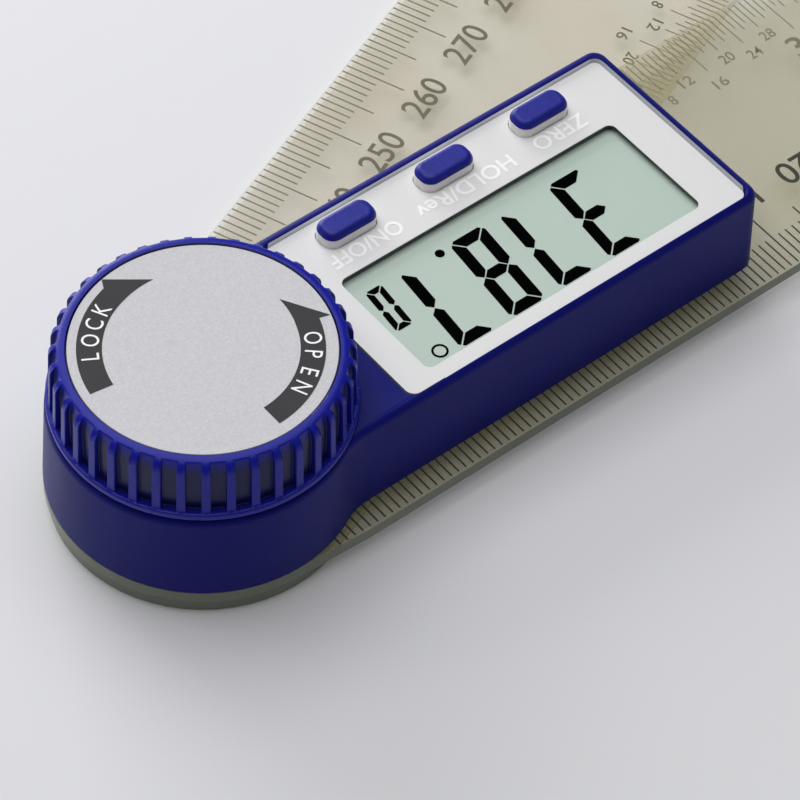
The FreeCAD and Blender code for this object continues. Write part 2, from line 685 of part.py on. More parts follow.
def display_parts():
    """Build the pane, the display glass, its holder and the connector strips."""
    lcd_box = grow_box(WINDOW_BOX, dim("pane_margin"))
    pane = sub_part("display_window", PANE_Z)
    pad(pane, outline(pane, "Pane", square_corners(lcd_box)), dim("pane_thick"))
    glass = sub_part("lcd_panel", LCD_Z)
    pad(glass, outline(glass, "Glass", square_corners(lcd_box)), dim("lcd_thick"))
    holder = sub_part("lcd_holder", BOARD_TOP_Z)
    height = less(CEILING_Z, BOARD_TOP_Z)
    inner_box = grow_box(lcd_box, dim("fit_gap"))
    outer_box = grow_box(inner_box, dim("holder_wall"))
    pad(holder, outline(holder, "Frame", square_corners(outer_box)), height)
    pocket(holder, outline(holder, "Room", square_corners(inner_box)), height, up=True)
    strips = sub_part("lcd_connectors", BOARD_TOP_Z)
    low_x, high_x, low_y, high_y = grow_box(lcd_box, "-" + dim("fit_gap"))
    sketch = new_sketch(strips, "Strips")
    for low, high in ((low_y, total(low_y, dim("strip_width"))), (less(high_y, dim("strip_width")), high_y)):
        box = (total(low_x, dim("strip_inset")), less(high_x, dim("strip_inset")), low, high)
        add_outline(sketch, square_corners(box))
    pad(strips, sketch, less(LCD_Z, BOARD_TOP_Z))


def circuit_board():
    """Build the board with its round sensor end."""
    body = sub_part("circuit_board", BOARD_Z)
    start = "sqrt(%s^2 - %s^2)" % (dim("hub_radius"), dim("board_half"))
    box = (start, dim("board_reach"), "-" + dim("board_half"), dim("board_half"))
    pad(body, outline(body, "Block", square_corners(box)), dim("board_thick"))
    pad(body, circles(body, "Sensor", [("0", "0")], dim("sensor_radius")), dim("board_thick"))
    pocket(body, circles(body, "SensorBore", [("0", "0")], dim("sensor_bore")), dim("board_thick"), up=True)
    bore = total(dim("board_screw_radius"), dim("fit_gap"))
    pocket(body, circles(body, "ScrewHoles", BOARD_POSTS, bore), dim("board_thick"), up=True)


def board_screws():
    """Build the two pan head screws that hold the board to its posts."""
    level = less(BOARD_Z, dim("board_screw_cap"))
    body = sub_part("board_screws", level)
    pad(body, circles(body, "Heads", BOARD_POSTS, dim("board_screw_head")), dim("board_screw_cap"))
    shank = total(dim("board_screw_cap"), dim("board_screw_length"))
    pad(body, circles(body, "Shanks", BOARD_POSTS, dim("board_screw_radius")), shank)
    pocket(body, crosses(body, "Recesses", BOARD_POSTS), dim("recess_depth"), up=True)


def processor():
    """Build the moulded chip on the underside of the board."""
    body = sub_part("processor", less(BOARD_Z, dim("chip_height")))
    blob = circles(body, "Blob", [(dim("chip_place"), "0")], dim("chip_radius"), dim("chip_height"))
    pad(body, blob, dim("chip_height"), down=True, taper="-" + dim("chip_draft"))


# ---- battery --------------------------------------------------------------------------

def coin_cell():
    """Build the coin cell, small end up."""
    body = sub_part("coin_cell", CELL_Z)
    place = [(dim("battery_place"), "0")]
    can = less(dim("cell_height"), dim("cell_rim"))
    pad(body, circles(body, "Can", place, dim("cell_radius")), can)
    cap_radius = less(dim("cell_radius"), dim("cell_rim"))
    pad(body, circles(body, "Cap", place, cap_radius, can), dim("cell_rim"))


def battery_contacts():
    """Build the leaf over the cell and the blade beside it."""
    half = times(dim("contact_width"), 0.5)
    leaf = sub_part("battery_contact_minus", CELL_TOP_Z)
    box = centred_box(dim("battery_place"), "0", times(dim("contact_width"), 2), dim("contact_width"))
    pad(leaf, outline(leaf, "Leaf", square_corners(box)), less(BOARD_Z, CELL_TOP_Z))
    level = total(FOOT_Z, dim("plug_height"), dim("cover_gap"))
    blade = sub_part("battery_contact_plus", level)
    near = total(dim("battery_place"), dim("cell_radius"), dim("fit_gap"))
    box = (near, total(near, dim("contact_metal")), "-" + half, half)
    pad(blade, outline(blade, "Blade", square_corners(box)), less(BOARD_Z, level))


def battery_cover():
    """Build the round cover with its coin slot and two bayonet lugs.

    Its own frame is on its axis, at its outer face.
    """
    body = sub_part("battery_cover", FIXED_ARM_Z)
    body.setExpression("Placement.Base.x", dim("battery_place"))
    pad(body, circles(body, "Flange", [("0", "0")], COVER_RADIUS), dim("arm_thick"))
    plug_top = total(dim("arm_thick"), dim("plug_height"))
    pad(body, circles(body, "Plug", [("0", "0")], PLUG_RADIUS, dim("arm_thick")), dim("plug_height"))
    lug_level = total(dim("arm_thick"), dim("ledge_height"), dim("fit_gap"))
    half = times(dim("lug_width"), 0.5)
    tip = "sqrt(%s^2 - %s^2)" % (LUG_RADIUS, half)
    lugs = outline(body, "Lugs", [("-" + tip, "-" + half), (tip, "-" + half, LUG_RADIUS, 1), (tip, half),
                                  ("-" + tip, half, LUG_RADIUS, 1)], height=lug_level)
    pad(body, lugs, dim("lug_height"))
    floor = total(dim("arm_thick"), dim("cover_floor"))
    pocket(body, circles(body, "CellRoom", [("0", "0")], PLUG_INNER, plug_top), less(plug_top, floor))
    slot_box = centred_box("0", "0", dim("coin_slot_width"), dim("coin_slot_length"))
    corner = times(dim("coin_slot_width"), 0.4)
    slot = outline(body, "CoinSlot", rectangle_corners(slot_box, corner))
    pocket(body, slot, dim("coin_slot_depth"), up=True)


# ---- buttons --------------------------------------------------------------------------

def button_parts(name, place):
    """Build one button: the dome, the grey body with its stem, and the blue cap."""
    side = dim("button_side")
    dome_top_z = total(BOARD_TOP_Z, dim("dome_height"))
    flange_z = less(CEILING_Z, dim("flange_thick"))
    body_top_z = total(PLATE_Z, dim("plate_thick"), dim("button_rise"))
    box = centred_box(place, side, dim("button_length"), dim("button_width"))
    spigot_box = grow_box(box, "-" + dim("cap_wall"))
    spigot_corner = less(dim("button_corner"), dim("cap_wall"))

    button = sub_part(name + "_button_body", dome_top_z)
    pad(button, circles(button, "Stem", [(place, side)], dim("stem_radius")), less(flange_z, dome_top_z))
    flange_level = less(flange_z, dome_top_z)
    flange = square_corners(grow_box(box, dim("flange_reach")))
    pad(button, outline(button, "Flange", flange, height=flange_level), dim("flange_thick"))
    neck_level = less(CEILING_Z, dome_top_z)
    neck = rectangle_corners(box, dim("button_corner"))
    pad(button, outline(button, "Neck", neck, height=neck_level), less(body_top_z, CEILING_Z))
    spigot_level = less(body_top_z, dome_top_z)
    spigot = rectangle_corners(spigot_box, spigot_corner)
    pad(button, outline(button, "Spigot", spigot, height=spigot_level), dim("spigot_height"))

    cap = sub_part(name + "_button", body_top_z)
    pad(cap, outline(cap, "Cap", neck), dim("cap_height"), taper="-" + dim("cap_draft"))
    round_edges(cap, lies_at(dim("cap_height")), dim("cap_round"))
    room = rectangle_corners(grow_box(spigot_box, dim("fit_gap")), total(spigot_corner, dim("fit_gap")))
    pocket(cap, outline(cap, "Room", room), dim("spigot_height"), up=True)

    dome = sub_part(name + "_dome", BOARD_TOP_Z)
    dome.setExpression("Placement.Base.x", place)
    dome.setExpression("Placement.Base.y", side)
    top, metal, foot = dim("dome_height"), dim("dome_metal"), dim("dome_radius")
    shoulder = times(foot, 0.6)
    profile = [(less(foot, metal), "0"), (foot, "0"), (shoulder, times(top, 0.8)), ("0", top),
               ("0", less(top, metal)), (less(shoulder, metal), less(times(top, 0.8), metal))]
    revolve(dome, outline(dome, "Profile", profile, "XZ_Plane"))


# ---- pivot ----------------------------------------------------------------------------

def pivot_bush():
    """Build the rimmed bearing ring in the fixed arm and the base."""
    body = sub_part("pivot_bush", FIXED_ARM_Z)
    bore = total(dim("core_radius"), dim("turn_gap"))
    length = total(dim("arm_thick"), dim("base_thick"))
    pad(body, ring(body, "Wall", BUSH_RADIUS, bore), length)
    pad(body, ring(body, "Rim", total(BUSH_RADIUS, dim("bush_rim")), bore, length), dim("bush_rim_thick"))


def turning_core():
    """Build the core that joins the lower arm, the stud and the rotor."""
    body = sub_part("turning_core", dim("arm_thick"), turned=True)
    pad(body, circles(body, "Drum", [("0", "0")], dim("core_radius")), dim("core_height"))
    pad(body, outline(body, "Key", hexagon_corners(dim("key_radius")), height=dim("core_height")),
        dim("key_height"))
    head = hexagon_corners(total(dim("stud_head"), dim("fit_gap")))
    pocket(body, outline(body, "HeadRoom", head), total(dim("stud_head_height"), dim("fit_gap")), up=True)
    bore = circles(body, "StudBore", [("0", "0")], total(dim("stud_radius"), dim("fit_gap")))
    pocket(body, bore, total(dim("core_height"), dim("key_height")), up=True)
    screw = circles(body, "ScrewBore", [(dim("core_screw_ring"), "0")],
                    total(dim("core_screw_radius"), dim("fit_gap")))
    depth = total(less(dim("core_screw_length"), dim("arm_thick")), dim("bore_spare"))
    repeat_round(body, pocket(body, screw, depth, up=True), dim("core_screw_count"))


def core_screws():
    """Build the countersunk screws that hold the lower arm to the core."""
    body = sub_part("core_screws", turned=True)
    head, shank = dim("core_screw_head"), dim("core_screw_radius")
    place = [(dim("core_screw_ring"), "0")]
    count = dim("core_screw_count")
    cone = pad(body, circles(body, "Head", place, head), less(head, shank), taper="-45")
    repeat_round(body, cone, count)
    stem = pad(body, circles(body, "Shank", place, shank), dim("core_screw_length"))
    repeat_round(body, stem, count)
    recess = pocket(body, crosses(body, "Recess", place), dim("recess_depth"), up=True)
    repeat_round(body, recess, count)


def clamp_stud():
    """Build the stud that the lock knob pulls on."""
    body = sub_part("clamp_stud", dim("arm_thick"), turned=True)
    head = outline(body, "Head", hexagon_corners(dim("stud_head")))
    pad(body, head, dim("stud_head_height"))
    shank = circles(body, "Shank", [("0", "0")], dim("stud_radius"))
    tip_z = less(total(KNOB_Z, KNOB_CEILING), dim("stud_end_gap"))
    pad(body, shank, less(tip_z, dim("arm_thick")))


def sensor_rotor():
    """Build the rotor board and the clip that holds it on the core."""
    rotor = sub_part("sensor_rotor", ROTOR_Z, turned=True)
    pad(rotor, circles(rotor, "Disc", [("0", "0")], dim("rotor_radius")), dim("rotor_thick"))
    keyway = hexagon_corners(total(dim("key_radius"), dim("fit_gap")))
    pocket(rotor, outline(rotor, "Keyway", keyway), dim("rotor_thick"), up=True)
    clip = sub_part("rotor_clip", CLIP_Z, turned=True)
    pad(clip, ring(clip, "Ring", dim("clip_radius"), total(dim("key_radius"), dim("fit_gap"))),
        dim("clip_thick"))


# ---- knob -----------------------------------------------------------------------------

def knob_profile():
    """List the corners of half the knob's section."""
    height, rim = dim("knob_height"), dim("rim_radius")
    return [(dim("knob_cavity"), "0"), (rim, "0"), (rim, times(dim("rim_height"), 0.85)),
            (dim("rib_radius_low"), dim("rim_height")), (dim("rib_radius_high"), height),
            ("0", height), ("0", KNOB_CEILING), (dim("knob_cavity"), KNOB_CEILING)]


def flute_profile():
    """List the corners of a flute's section: a straight floor that runs out at the top."""
    height, outer = dim("knob_height"), total(dim("rim_radius"), dim("knob_round"))
    return [(dim("flute_floor"), dim("rim_height")), (outer, dim("rim_height")), (outer, height),
            (dim("flute_end"), height), (dim("flute_floor"), less(height, dim("flute_runout")))]


def lock_knob():
    """Build the fluted knob."""
    body = sub_part("lock_knob", KNOB_Z)
    body.setExpression("Placement.Rotation.Angle", dim("knob_turn"))
    revolve(body, outline(body, "Section", knob_profile(), "XZ_Plane"))
    top = dim("knob_height")
    round_edges(body, lies_at(top), dim("knob_round"))
    boss_bottom = less(total(INSERT_Z, dim("insert_rim_thick")), KNOB_Z)
    boss = circles(body, "Boss", [("0", "0")], dim("boss_radius"), KNOB_CEILING)
    pad(body, boss, less(KNOB_CEILING, boss_bottom), down=True)
    bore = circles(body, "InsertBore", [("0", "0")], total(dim("insert_radius"), dim("fit_gap")), boss_bottom)
    pocket(body, bore, less(KNOB_CEILING, boss_bottom), up=True)
    seat_radius = total(dim("label_radius"), dim("label_gap"))
    seat = circles(body, "LabelSeat", [("0", "0")], seat_radius, top)
    pocket(body, seat, total(dim("label_sink"), dim("label_thick")))
    half = times(dim("flute_width"), 0.5)
    cut = pocket(body, outline(body, "Flute", flute_profile(), "XZ_Plane", half), dim("flute_width"))
    repeat_round(body, cut, dim("flute_count"))


def knob_insert():
    """Build the threaded insert of the knob."""
    body = sub_part("knob_insert", INSERT_Z)
    pad(body, circles(body, "Flange", [("0", "0")], dim("insert_rim")), dim("insert_rim_thick"))
    length = less(total(KNOB_Z, KNOB_CEILING), INSERT_Z)
    pad(body, circles(body, "Barrel", [("0", "0")], dim("insert_radius")), length)
    bore = circles(body, "Bore", [("0", "0")], total(dim("stud_radius"), dim("thread_gap")))
    pocket(body, bore, length, up=True)


def knob_disc():
    """Build the disc set in the top of the knob."""
    level = total(KNOB_Z, LABEL_FLOOR)
    body = sub_part("knob_disc", level)
    pad(body, circles(body, "Disc", [("0", "0")], dim("label_radius")), dim("label_thick"))


def clamp_washers():
    """Build the flat washer on the case and the spring washer on it."""
    flat = sub_part("clamp_washer", TOP_Z)
    pad(flat, ring(flat, "Washer", dim("washer_radius"), STUD_HOLE), dim("washer_thick"))
    spring = sub_part("spring_washer", SPRING_Z)
    pad(spring, ring(spring, "Washer", dim("spring_radius"), STUD_HOLE), dim("spring_thick"))


# ---- checks and files -----------------------------------------------------------------

def check_document():
    """Stop if any object failed or any sub-part is empty or faulty."""
    for item in doc.Objects:
        if any(word in item.State for word in ("Invalid", "Error")):
            raise RuntimeError("%s is in state %s" % (item.Label, item.State))
    for body in doc.findObjects("PartDesign::Body"):
        if body.Shape.isNull() or not body.Shape.isValid() or not body.Shape.Solids:
            raise RuntimeError(body.Label + " has no valid shape")


def write_files():
    """Write one STEP file for each sub-part."""
    os.makedirs("parts", exist_ok=True)
    for body in doc.findObjects("PartDesign::Body"):
        body.Shape.exportStep(os.path.join("parts", body.Label + ".step"))
        print("%-24s solids %d, volume %.2f" % (body.Label, len(body.Shape.Solids), body.Shape.Volume))


fill_sheet()
for build in (fixed_arm, moving_arm, friction_film, upper_case, base_cover, case_screws, face_plate,
              display_parts, circuit_board, board_screws, processor, coin_cell, battery_contacts,
              battery_cover, pivot_bush, turning_core, core_screws, clamp_stud, sensor_rotor,
              lock_knob, knob_insert, knob_disc, clamp_washers):
    build()
for button_name, button_place in zip(BUTTON_NAMES, BUTTON_PLACES):
    button_parts(button_name, button_place)
doc.recompute()
check_document()
write_files()
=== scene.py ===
"""Digital angle finder with two clear ruler arms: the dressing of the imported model.

Blender works in metres in the part's own frame: the pivot axis is Z, the fixed arm runs along +X
and the lower arm's underside is at z = 0. The sizes held by the classes are in millimetres, and
noise scales are counts per metre.
"""

import logging
import math
from dataclasses import dataclass, field
from enum import Enum

import bmesh
import bpy
from mathutils import Matrix, Vector


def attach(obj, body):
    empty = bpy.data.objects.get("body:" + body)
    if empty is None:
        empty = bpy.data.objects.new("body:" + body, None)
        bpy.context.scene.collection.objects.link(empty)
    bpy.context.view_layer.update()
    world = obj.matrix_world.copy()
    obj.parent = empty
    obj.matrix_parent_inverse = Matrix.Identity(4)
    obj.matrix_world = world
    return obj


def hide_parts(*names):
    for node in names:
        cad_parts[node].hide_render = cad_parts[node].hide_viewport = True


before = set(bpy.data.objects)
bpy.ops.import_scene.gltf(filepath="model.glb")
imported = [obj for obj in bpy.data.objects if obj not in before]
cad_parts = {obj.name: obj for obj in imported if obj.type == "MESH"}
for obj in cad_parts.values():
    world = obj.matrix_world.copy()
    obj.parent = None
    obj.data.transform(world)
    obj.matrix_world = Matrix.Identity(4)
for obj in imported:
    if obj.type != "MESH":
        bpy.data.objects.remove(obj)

LOG = logging.getLogger("angle_finder")
MM = 0.001
INCH = 25.4
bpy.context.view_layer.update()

Point2 = tuple[float, float]
Colour = tuple[float, float, float, float]
Socket = bpy.types.NodeSocket


def screen(red: float, green: float, blue: float) -> Colour:
    """Turn a screen colour into the linear one that Blender works in.

    Args:
        red: Red, 0 to 255.
        green: Green, 0 to 255.
        blue: Blue, 0 to 255.

    Returns:
        The linear colour with an alpha of 1.
    """
    def linear(value: float) -> float:
        """Undo the screen's curve for one channel."""
        share = value / 255.0
        return share / 12.92 if share <= 0.04045 else ((share + 0.055) / 1.055) ** 2.4

    return linear(red), linear(green), linear(blue), 1.0


# ---------------------------------------------------------------- node trees


class Bench:
    """Adds nodes to one tree with short calls."""

    NOISE_RANGE = (0.3, 0.7)

    def __init__(self, tree: bpy.types.NodeTree) -> None:
        """Keep the tree and empty it."""
        self.tree = tree
        tree.nodes.clear()

    def add(self, kind: str, sockets: dict | None = None, **settings: object) -> bpy.types.Node:
        """Add a node.

        Args:
            kind: Blender's name of the node type.
            sockets: Value or output socket for each input, by name or number.
            **settings: Properties of the node.

        Returns:
            The new node.
        """
        node = self.tree.nodes.new(kind)
        for name, value in settings.items():
            setattr(node, name, value)
        self.feed(node, sockets or {})
        return node

    def feed(self, node: bpy.types.Node, sockets: dict) -> None:
        """Link each named input to its socket or set its value."""
        for name, value in sockets.items():
            if isinstance(value, Socket):
                self.tree.links.new(value, node.inputs[name])
            else:
                node.inputs[name].default_value = value

    def math(self, operation: str, first: object, second: object = 0.0, clamp: bool = False) -> Socket:
        """Add a Math node and give its result."""
        node = self.add("ShaderNodeMath", {0: first, 1: second}, operation=operation, use_clamp=clamp)
        return node.outputs[0]

    def spread(self, value: object, low: float, high: float, to_low: float, to_high: float) -> Socket:
        """Map a range onto another one, clamped, and give the result."""
        return self.add("ShaderNodeMapRange", {0: value, 1: low, 2: high, 3: to_low, 4: to_high}).outputs[0]

    def blend(self, share: object, first: object, second: object) -> Socket:
        """Mix two colours and give the result."""
        return self.add("ShaderNodeMix", {0: share, 6: first, 7: second}, data_type="RGBA").outputs[2]

    def noise(self, vector: object, scale: object, detail: float) -> Socket:
        """Add a noise and give its value."""
        node = self.add("ShaderNodeTexNoise", {"Vector": vector, "Scale": scale, "Detail": detail})
        return node.outputs["Fac"]

    def cloud(self, vector: object, scale: object, detail: float, low: float, high: float) -> Socket:
        """Add a noise, spread its middle range from low to high, and give the result."""
        return self.spread(self.noise(vector, scale, detail), *self.NOISE_RANGE, low, high)

    def brighten(self, colour: object, change: Socket) -> Socket:
        """Multiply a colour's brightness by one plus the change and give the result."""
        gain = self.math("ADD", change, 1.0)
        return self.add("ShaderNodeHueSaturation", {"Color": colour, "Value": gain}).outputs["Color"]

    def place(self) -> Socket:
        """Give the object's own coordinates."""
        return self.add("ShaderNodeTexCoord").outputs["Object"]


class Effect(Enum):
    """Shared shader effects; the value is the name of the node group."""

    GRAIN = "fine grain"
    HANDLING = "handling marks"
    TONE = "tone drift"
    BRUSHED = "brushed lines"
    FLAKES = "paint flakes"


class EffectGroups:
    """Builds each shared effect once and places it in materials."""

    PIT_SHARE = 0.35
    SOCKETS = {
        Effect.GRAIN: ((("Per Metre", 4000.0),), (("Height", "NodeSocketFloat"),)),
        Effect.HANDLING: ((("Roughness", 0.4), ("Spread", 0.1), ("Per Metre", 90.0)),
                          (("Roughness", "NodeSocketFloat"),)),
        Effect.TONE: ((("Drift", 0.06), ("Per Metre", 70.0)), (("Colour", "NodeSocketColor"),)),
        Effect.BRUSHED: ((("Per Metre", 900.0), ("Stretch", 0.04), ("Roughness", 0.3), ("Spread", 0.15)),
                         (("Height", "NodeSocketFloat"), ("Roughness", "NodeSocketFloat"))),
        Effect.FLAKES: ((("Amount", 0.05), ("Per Metre", 3200.0)),
                        (("Colour", "NodeSocketColor"), ("Height", "NodeSocketFloat"))),
    }

    def __init__(self) -> None:
        """Build every group."""
        self.trees = {effect: self._tree(effect) for effect in Effect}

    def _tree(self, effect: Effect) -> bpy.types.NodeTree:
        """Build the node group of one effect.

        Args:
            effect: Which effect.

        Returns:
            The group's tree.
        """
        tree = bpy.data.node_groups.new(effect.value, "ShaderNodeTree")
        values, results = self.SOCKETS[effect]
        tree.interface.new_socket("Vector", in_out="INPUT", socket_type="NodeSocketVector")
        if effect in (Effect.TONE, Effect.FLAKES):
            tree.interface.new_socket("Colour", in_out="INPUT", socket_type="NodeSocketColor")
        for name, default in values:
            socket = tree.interface.new_socket(name, in_out="INPUT", socket_type="NodeSocketFloat")
            socket.default_value = default
        for name, kind in results:
            tree.interface.new_socket(name, in_out="OUTPUT", socket_type=kind)
        bench = Bench(tree)
        given = bench.add("NodeGroupInput").outputs
        out = bench.add("NodeGroupOutput")
        made = getattr(self, "_" + effect.name.lower())(bench, given)
        for (name, _kind), socket in zip(results, made):
            tree.links.new(socket, out.inputs[name])
        return tree

    def _grain(self, bench: Bench, given: object) -> tuple:
        """Moulded grain: fine noise with shallow pits."""
        fine = bench.noise(given["Vector"], given["Per Metre"], 2.0)
        pits = bench.add("ShaderNodeTexVoronoi", {"Vector": given["Vector"], "Scale": given["Per Metre"]})
        shallow = bench.math("MULTIPLY", pits.outputs["Distance"], self.PIT_SHARE)
        return (bench.math("ADD", fine, shallow),)

    def _handling(self, bench: Bench, given: object) -> tuple:
        """Patches that hands have polished or dulled."""
        patch = bench.cloud(given["Vector"], given["Per Metre"], 4.0, -0.5, 0.5)
        change = bench.math("MULTIPLY", patch, given["Spread"])
        return (bench.math("ADD", given["Roughness"], change, clamp=True),)

    def _tone(self, bench: Bench, given: object) -> tuple:
        """Slow change of brightness over the surface."""
        slow = bench.cloud(given["Vector"], given["Per Metre"], 3.0, -1.0, 1.0)
        return (bench.brighten(given["Colour"], bench.math("MULTIPLY", slow, given["Drift"])),)

    def _brushed(self, bench: Bench, given: object) -> tuple:
        """Lines drawn along X."""
        split = bench.add("ShaderNodeSeparateXYZ", {0: given["Vector"]})
        thin = bench.math("MULTIPLY", split.outputs[0], given["Stretch"])
        drawn = bench.add("ShaderNodeCombineXYZ", {0: thin, 1: split.outputs[1], 2: split.outputs[2]})
        lines = bench.noise(drawn.outputs[0], given["Per Metre"], 5.0)
        dull = bench.math("MULTIPLY", bench.math("SUBTRACT", lines, 0.5), given["Spread"])
        return lines, bench.math("ADD", given["Roughness"], dull, clamp=True)

    def _flakes(self, bench: Bench, given: object) -> tuple:
        """Bright and dark flakes of a metallic paint."""
        cells = bench.add("ShaderNodeTexVoronoi", {"Vector": given["Vector"], "Scale": given["Per Metre"]})
        fine = bench.noise(given["Vector"], given["Per Metre"], 3.0)
        grey = bench.add("ShaderNodeSeparateColor", {0: cells.outputs["Color"]}).outputs[0]
        both = bench.math("ADD", bench.math("SUBTRACT", grey, 0.5), bench.math("SUBTRACT", fine, 0.5))
        return bench.brighten(given["Colour"], bench.math("MULTIPLY", both, given["Amount"])), fine

    def use(self, bench: Bench, effect: Effect, sockets: dict) -> bpy.types.Node:
        """Place an effect in a material.

        Args:
            bench: The material's bench.
            effect: Which effect.
            sockets: Its inputs.

        Returns:
            The group node.
        """
        return bench.add("ShaderNodeGroup", sockets, node_tree=self.trees[effect])


# ---------------------------------------------------------------- finishes


@dataclass(frozen=True)
class PaintedBox:
    """A box in the part's frame, in millimetres, inside which a surface has another colour.

    Its upright edges are round by the corner radius, and its colour fades out over the soft height
    under its top.
    """

    low: tuple[float, float, float]
    high: tuple[float, float, float]
    colour: Colour
    corner: float
    soft: float = 0.001

    def inside(self, bench: Bench, place: list[Socket]) -> Socket:
        """Give 1 inside the box and 0 outside, from the three coordinates in metres."""
        past = []
        for axis in range(2):
            middle, half = (self.low[axis] + self.high[axis]) / 2, (self.high[axis] - self.low[axis]) / 2
            off = bench.math("ABSOLUTE", bench.math("SUBTRACT", place[axis], middle * MM))
            over = bench.math("MAXIMUM", bench.math("SUBTRACT", off, (half - self.corner) * MM), 0.0)
            past.append(bench.math("MULTIPLY", over, over))
        plan = bench.math("LESS_THAN", bench.math("ADD", *past), (self.corner * MM) ** 2)
        above = bench.math("GREATER_THAN", place[2], self.low[2] * MM)
        below = bench.spread(place[2], (self.high[2] - self.soft) * MM, self.high[2] * MM, 1.0, 0.0)
        return bench.math("MULTIPLY", plan, bench.math("MULTIPLY", above, below))


@dataclass(frozen=True)
class Finish:
    """One finish: what every material of the part shares.

    Inside each of its boxes the surface has the box's colour.
    """

    name: str
    colour: Colour
    roughness: float = 0.4
    spread: float = 0.12
    metallic: float = 0.0
    drift: float = 0.05
    drift_per_metre: float = 70.0
    grain_per_metre: float = 4500.0
    grain_depth: float = 0.012
    specular: float = 0.5
    boxes: tuple[PaintedBox, ...] = ()

    def material(self, effects: EffectGroups) -> bpy.types.Material:
        """Build the material.

        Args:
            effects: The shared effects.

        Returns:
            The material, ready to be put on a mesh.
        """
        material = bpy.data.materials.new(self.name)
        material.use_nodes = True
        bench = Bench(material.node_tree)
        shader = bench.add("ShaderNodeBsdfPrincipled",
                           {"Metallic": self.metallic, "Specular IOR Level": self.specular})
        bench.add("ShaderNodeOutputMaterial", {"Surface": shader.outputs[0]})
        self.dress(bench, shader, effects)
        return material

    def dress(self, bench: Bench, shader: bpy.types.Node, effects: EffectGroups) -> None:
        """Fill the shader's sockets: colour, roughness and relief."""
        place = bench.place()
        bench.feed(shader, {"Base Color": self.colouring(bench, place, effects)})
        self.touch(bench, shader, place, effects)

    def touch(self, bench: Bench, shader: bpy.types.Node, place: Socket, effects: EffectGroups) -> None:
        """Fill roughness and relief: handling marks over moulded grain."""
        dull = effects.use(bench, Effect.HANDLING,
                           {"Vector": place, "Roughness": self.roughness, "Spread": self.spread})
        grain = effects.use(bench, Effect.GRAIN, {"Vector": place, "Per Metre": self.grain_per_metre})
        bench.feed(shader, {"Roughness": dull.outputs["Roughness"]})
        self.relief(bench, shader, grain.outputs["Height"])

    def relief(self, bench: Bench, shader: bpy.types.Node, height: Socket) -> None:
        """Lead a height through a Bump node into the shader."""
        deep = {"Height": height, "Distance": self.grain_depth * MM, "Strength": 1.0}
        bench.feed(shader, {"Normal": bench.add("ShaderNodeBump", deep).outputs[0]})

    def colouring(self, bench: Bench, place: object, effects: EffectGroups) -> Socket:
        """Give the surface's colour, changed inside each box."""
        tone = effects.use(bench, Effect.TONE, {"Vector": place, "Colour": self.colour, "Drift": self.drift,
                                                "Per Metre": self.drift_per_metre})
        colour = tone.outputs["Colour"]
        if self.boxes:
            split = list(bench.add("ShaderNodeSeparateXYZ", {0: place}).outputs)
            for box in self.boxes:
                colour = bench.blend(box.inside(bench, split), colour, box.colour)
        return colour


@dataclass(frozen=True)
class MetallicPaint(Finish):
    """Silver paint with fine flakes."""

    flakes: float = 0.08
    flakes_per_metre: float = 3200.0

    def colouring(self, bench: Bench, place: object, effects: EffectGroups) -> Socket:
        """Give the paint's colour with its flakes."""
        plain = super().colouring(bench, place, effects)
        paint = effects.use(bench, Effect.FLAKES, {"Vector": place, "Colour": plain, "Amount": self.flakes,
                                                   "Per Metre": self.flakes_per_metre})
        return paint.outputs["Colour"]


@dataclass(frozen=True)
class DrawnMetal(Finish):
    """Metal with brushed or drawn lines."""

    metallic: float = 1.0
    lines_per_metre: float = 900.0
    stretch: float = 0.05

    def dress(self, bench: Bench, shader: bpy.types.Node, effects: EffectGroups) -> None:
        """Fill the sockets with the drawn lines."""
        place = bench.place()
        lines = effects.use(bench, Effect.BRUSHED, {
            "Vector": place, "Per Metre": self.lines_per_metre, "Stretch": self.stretch,
            "Roughness": self.roughness, "Spread": self.spread})
        bench.feed(shader, {"Base Color": self.colouring(bench, place, effects),
                            "Roughness": lines.outputs["Roughness"]})
        self.relief(bench, shader, lines.outputs["Height"])


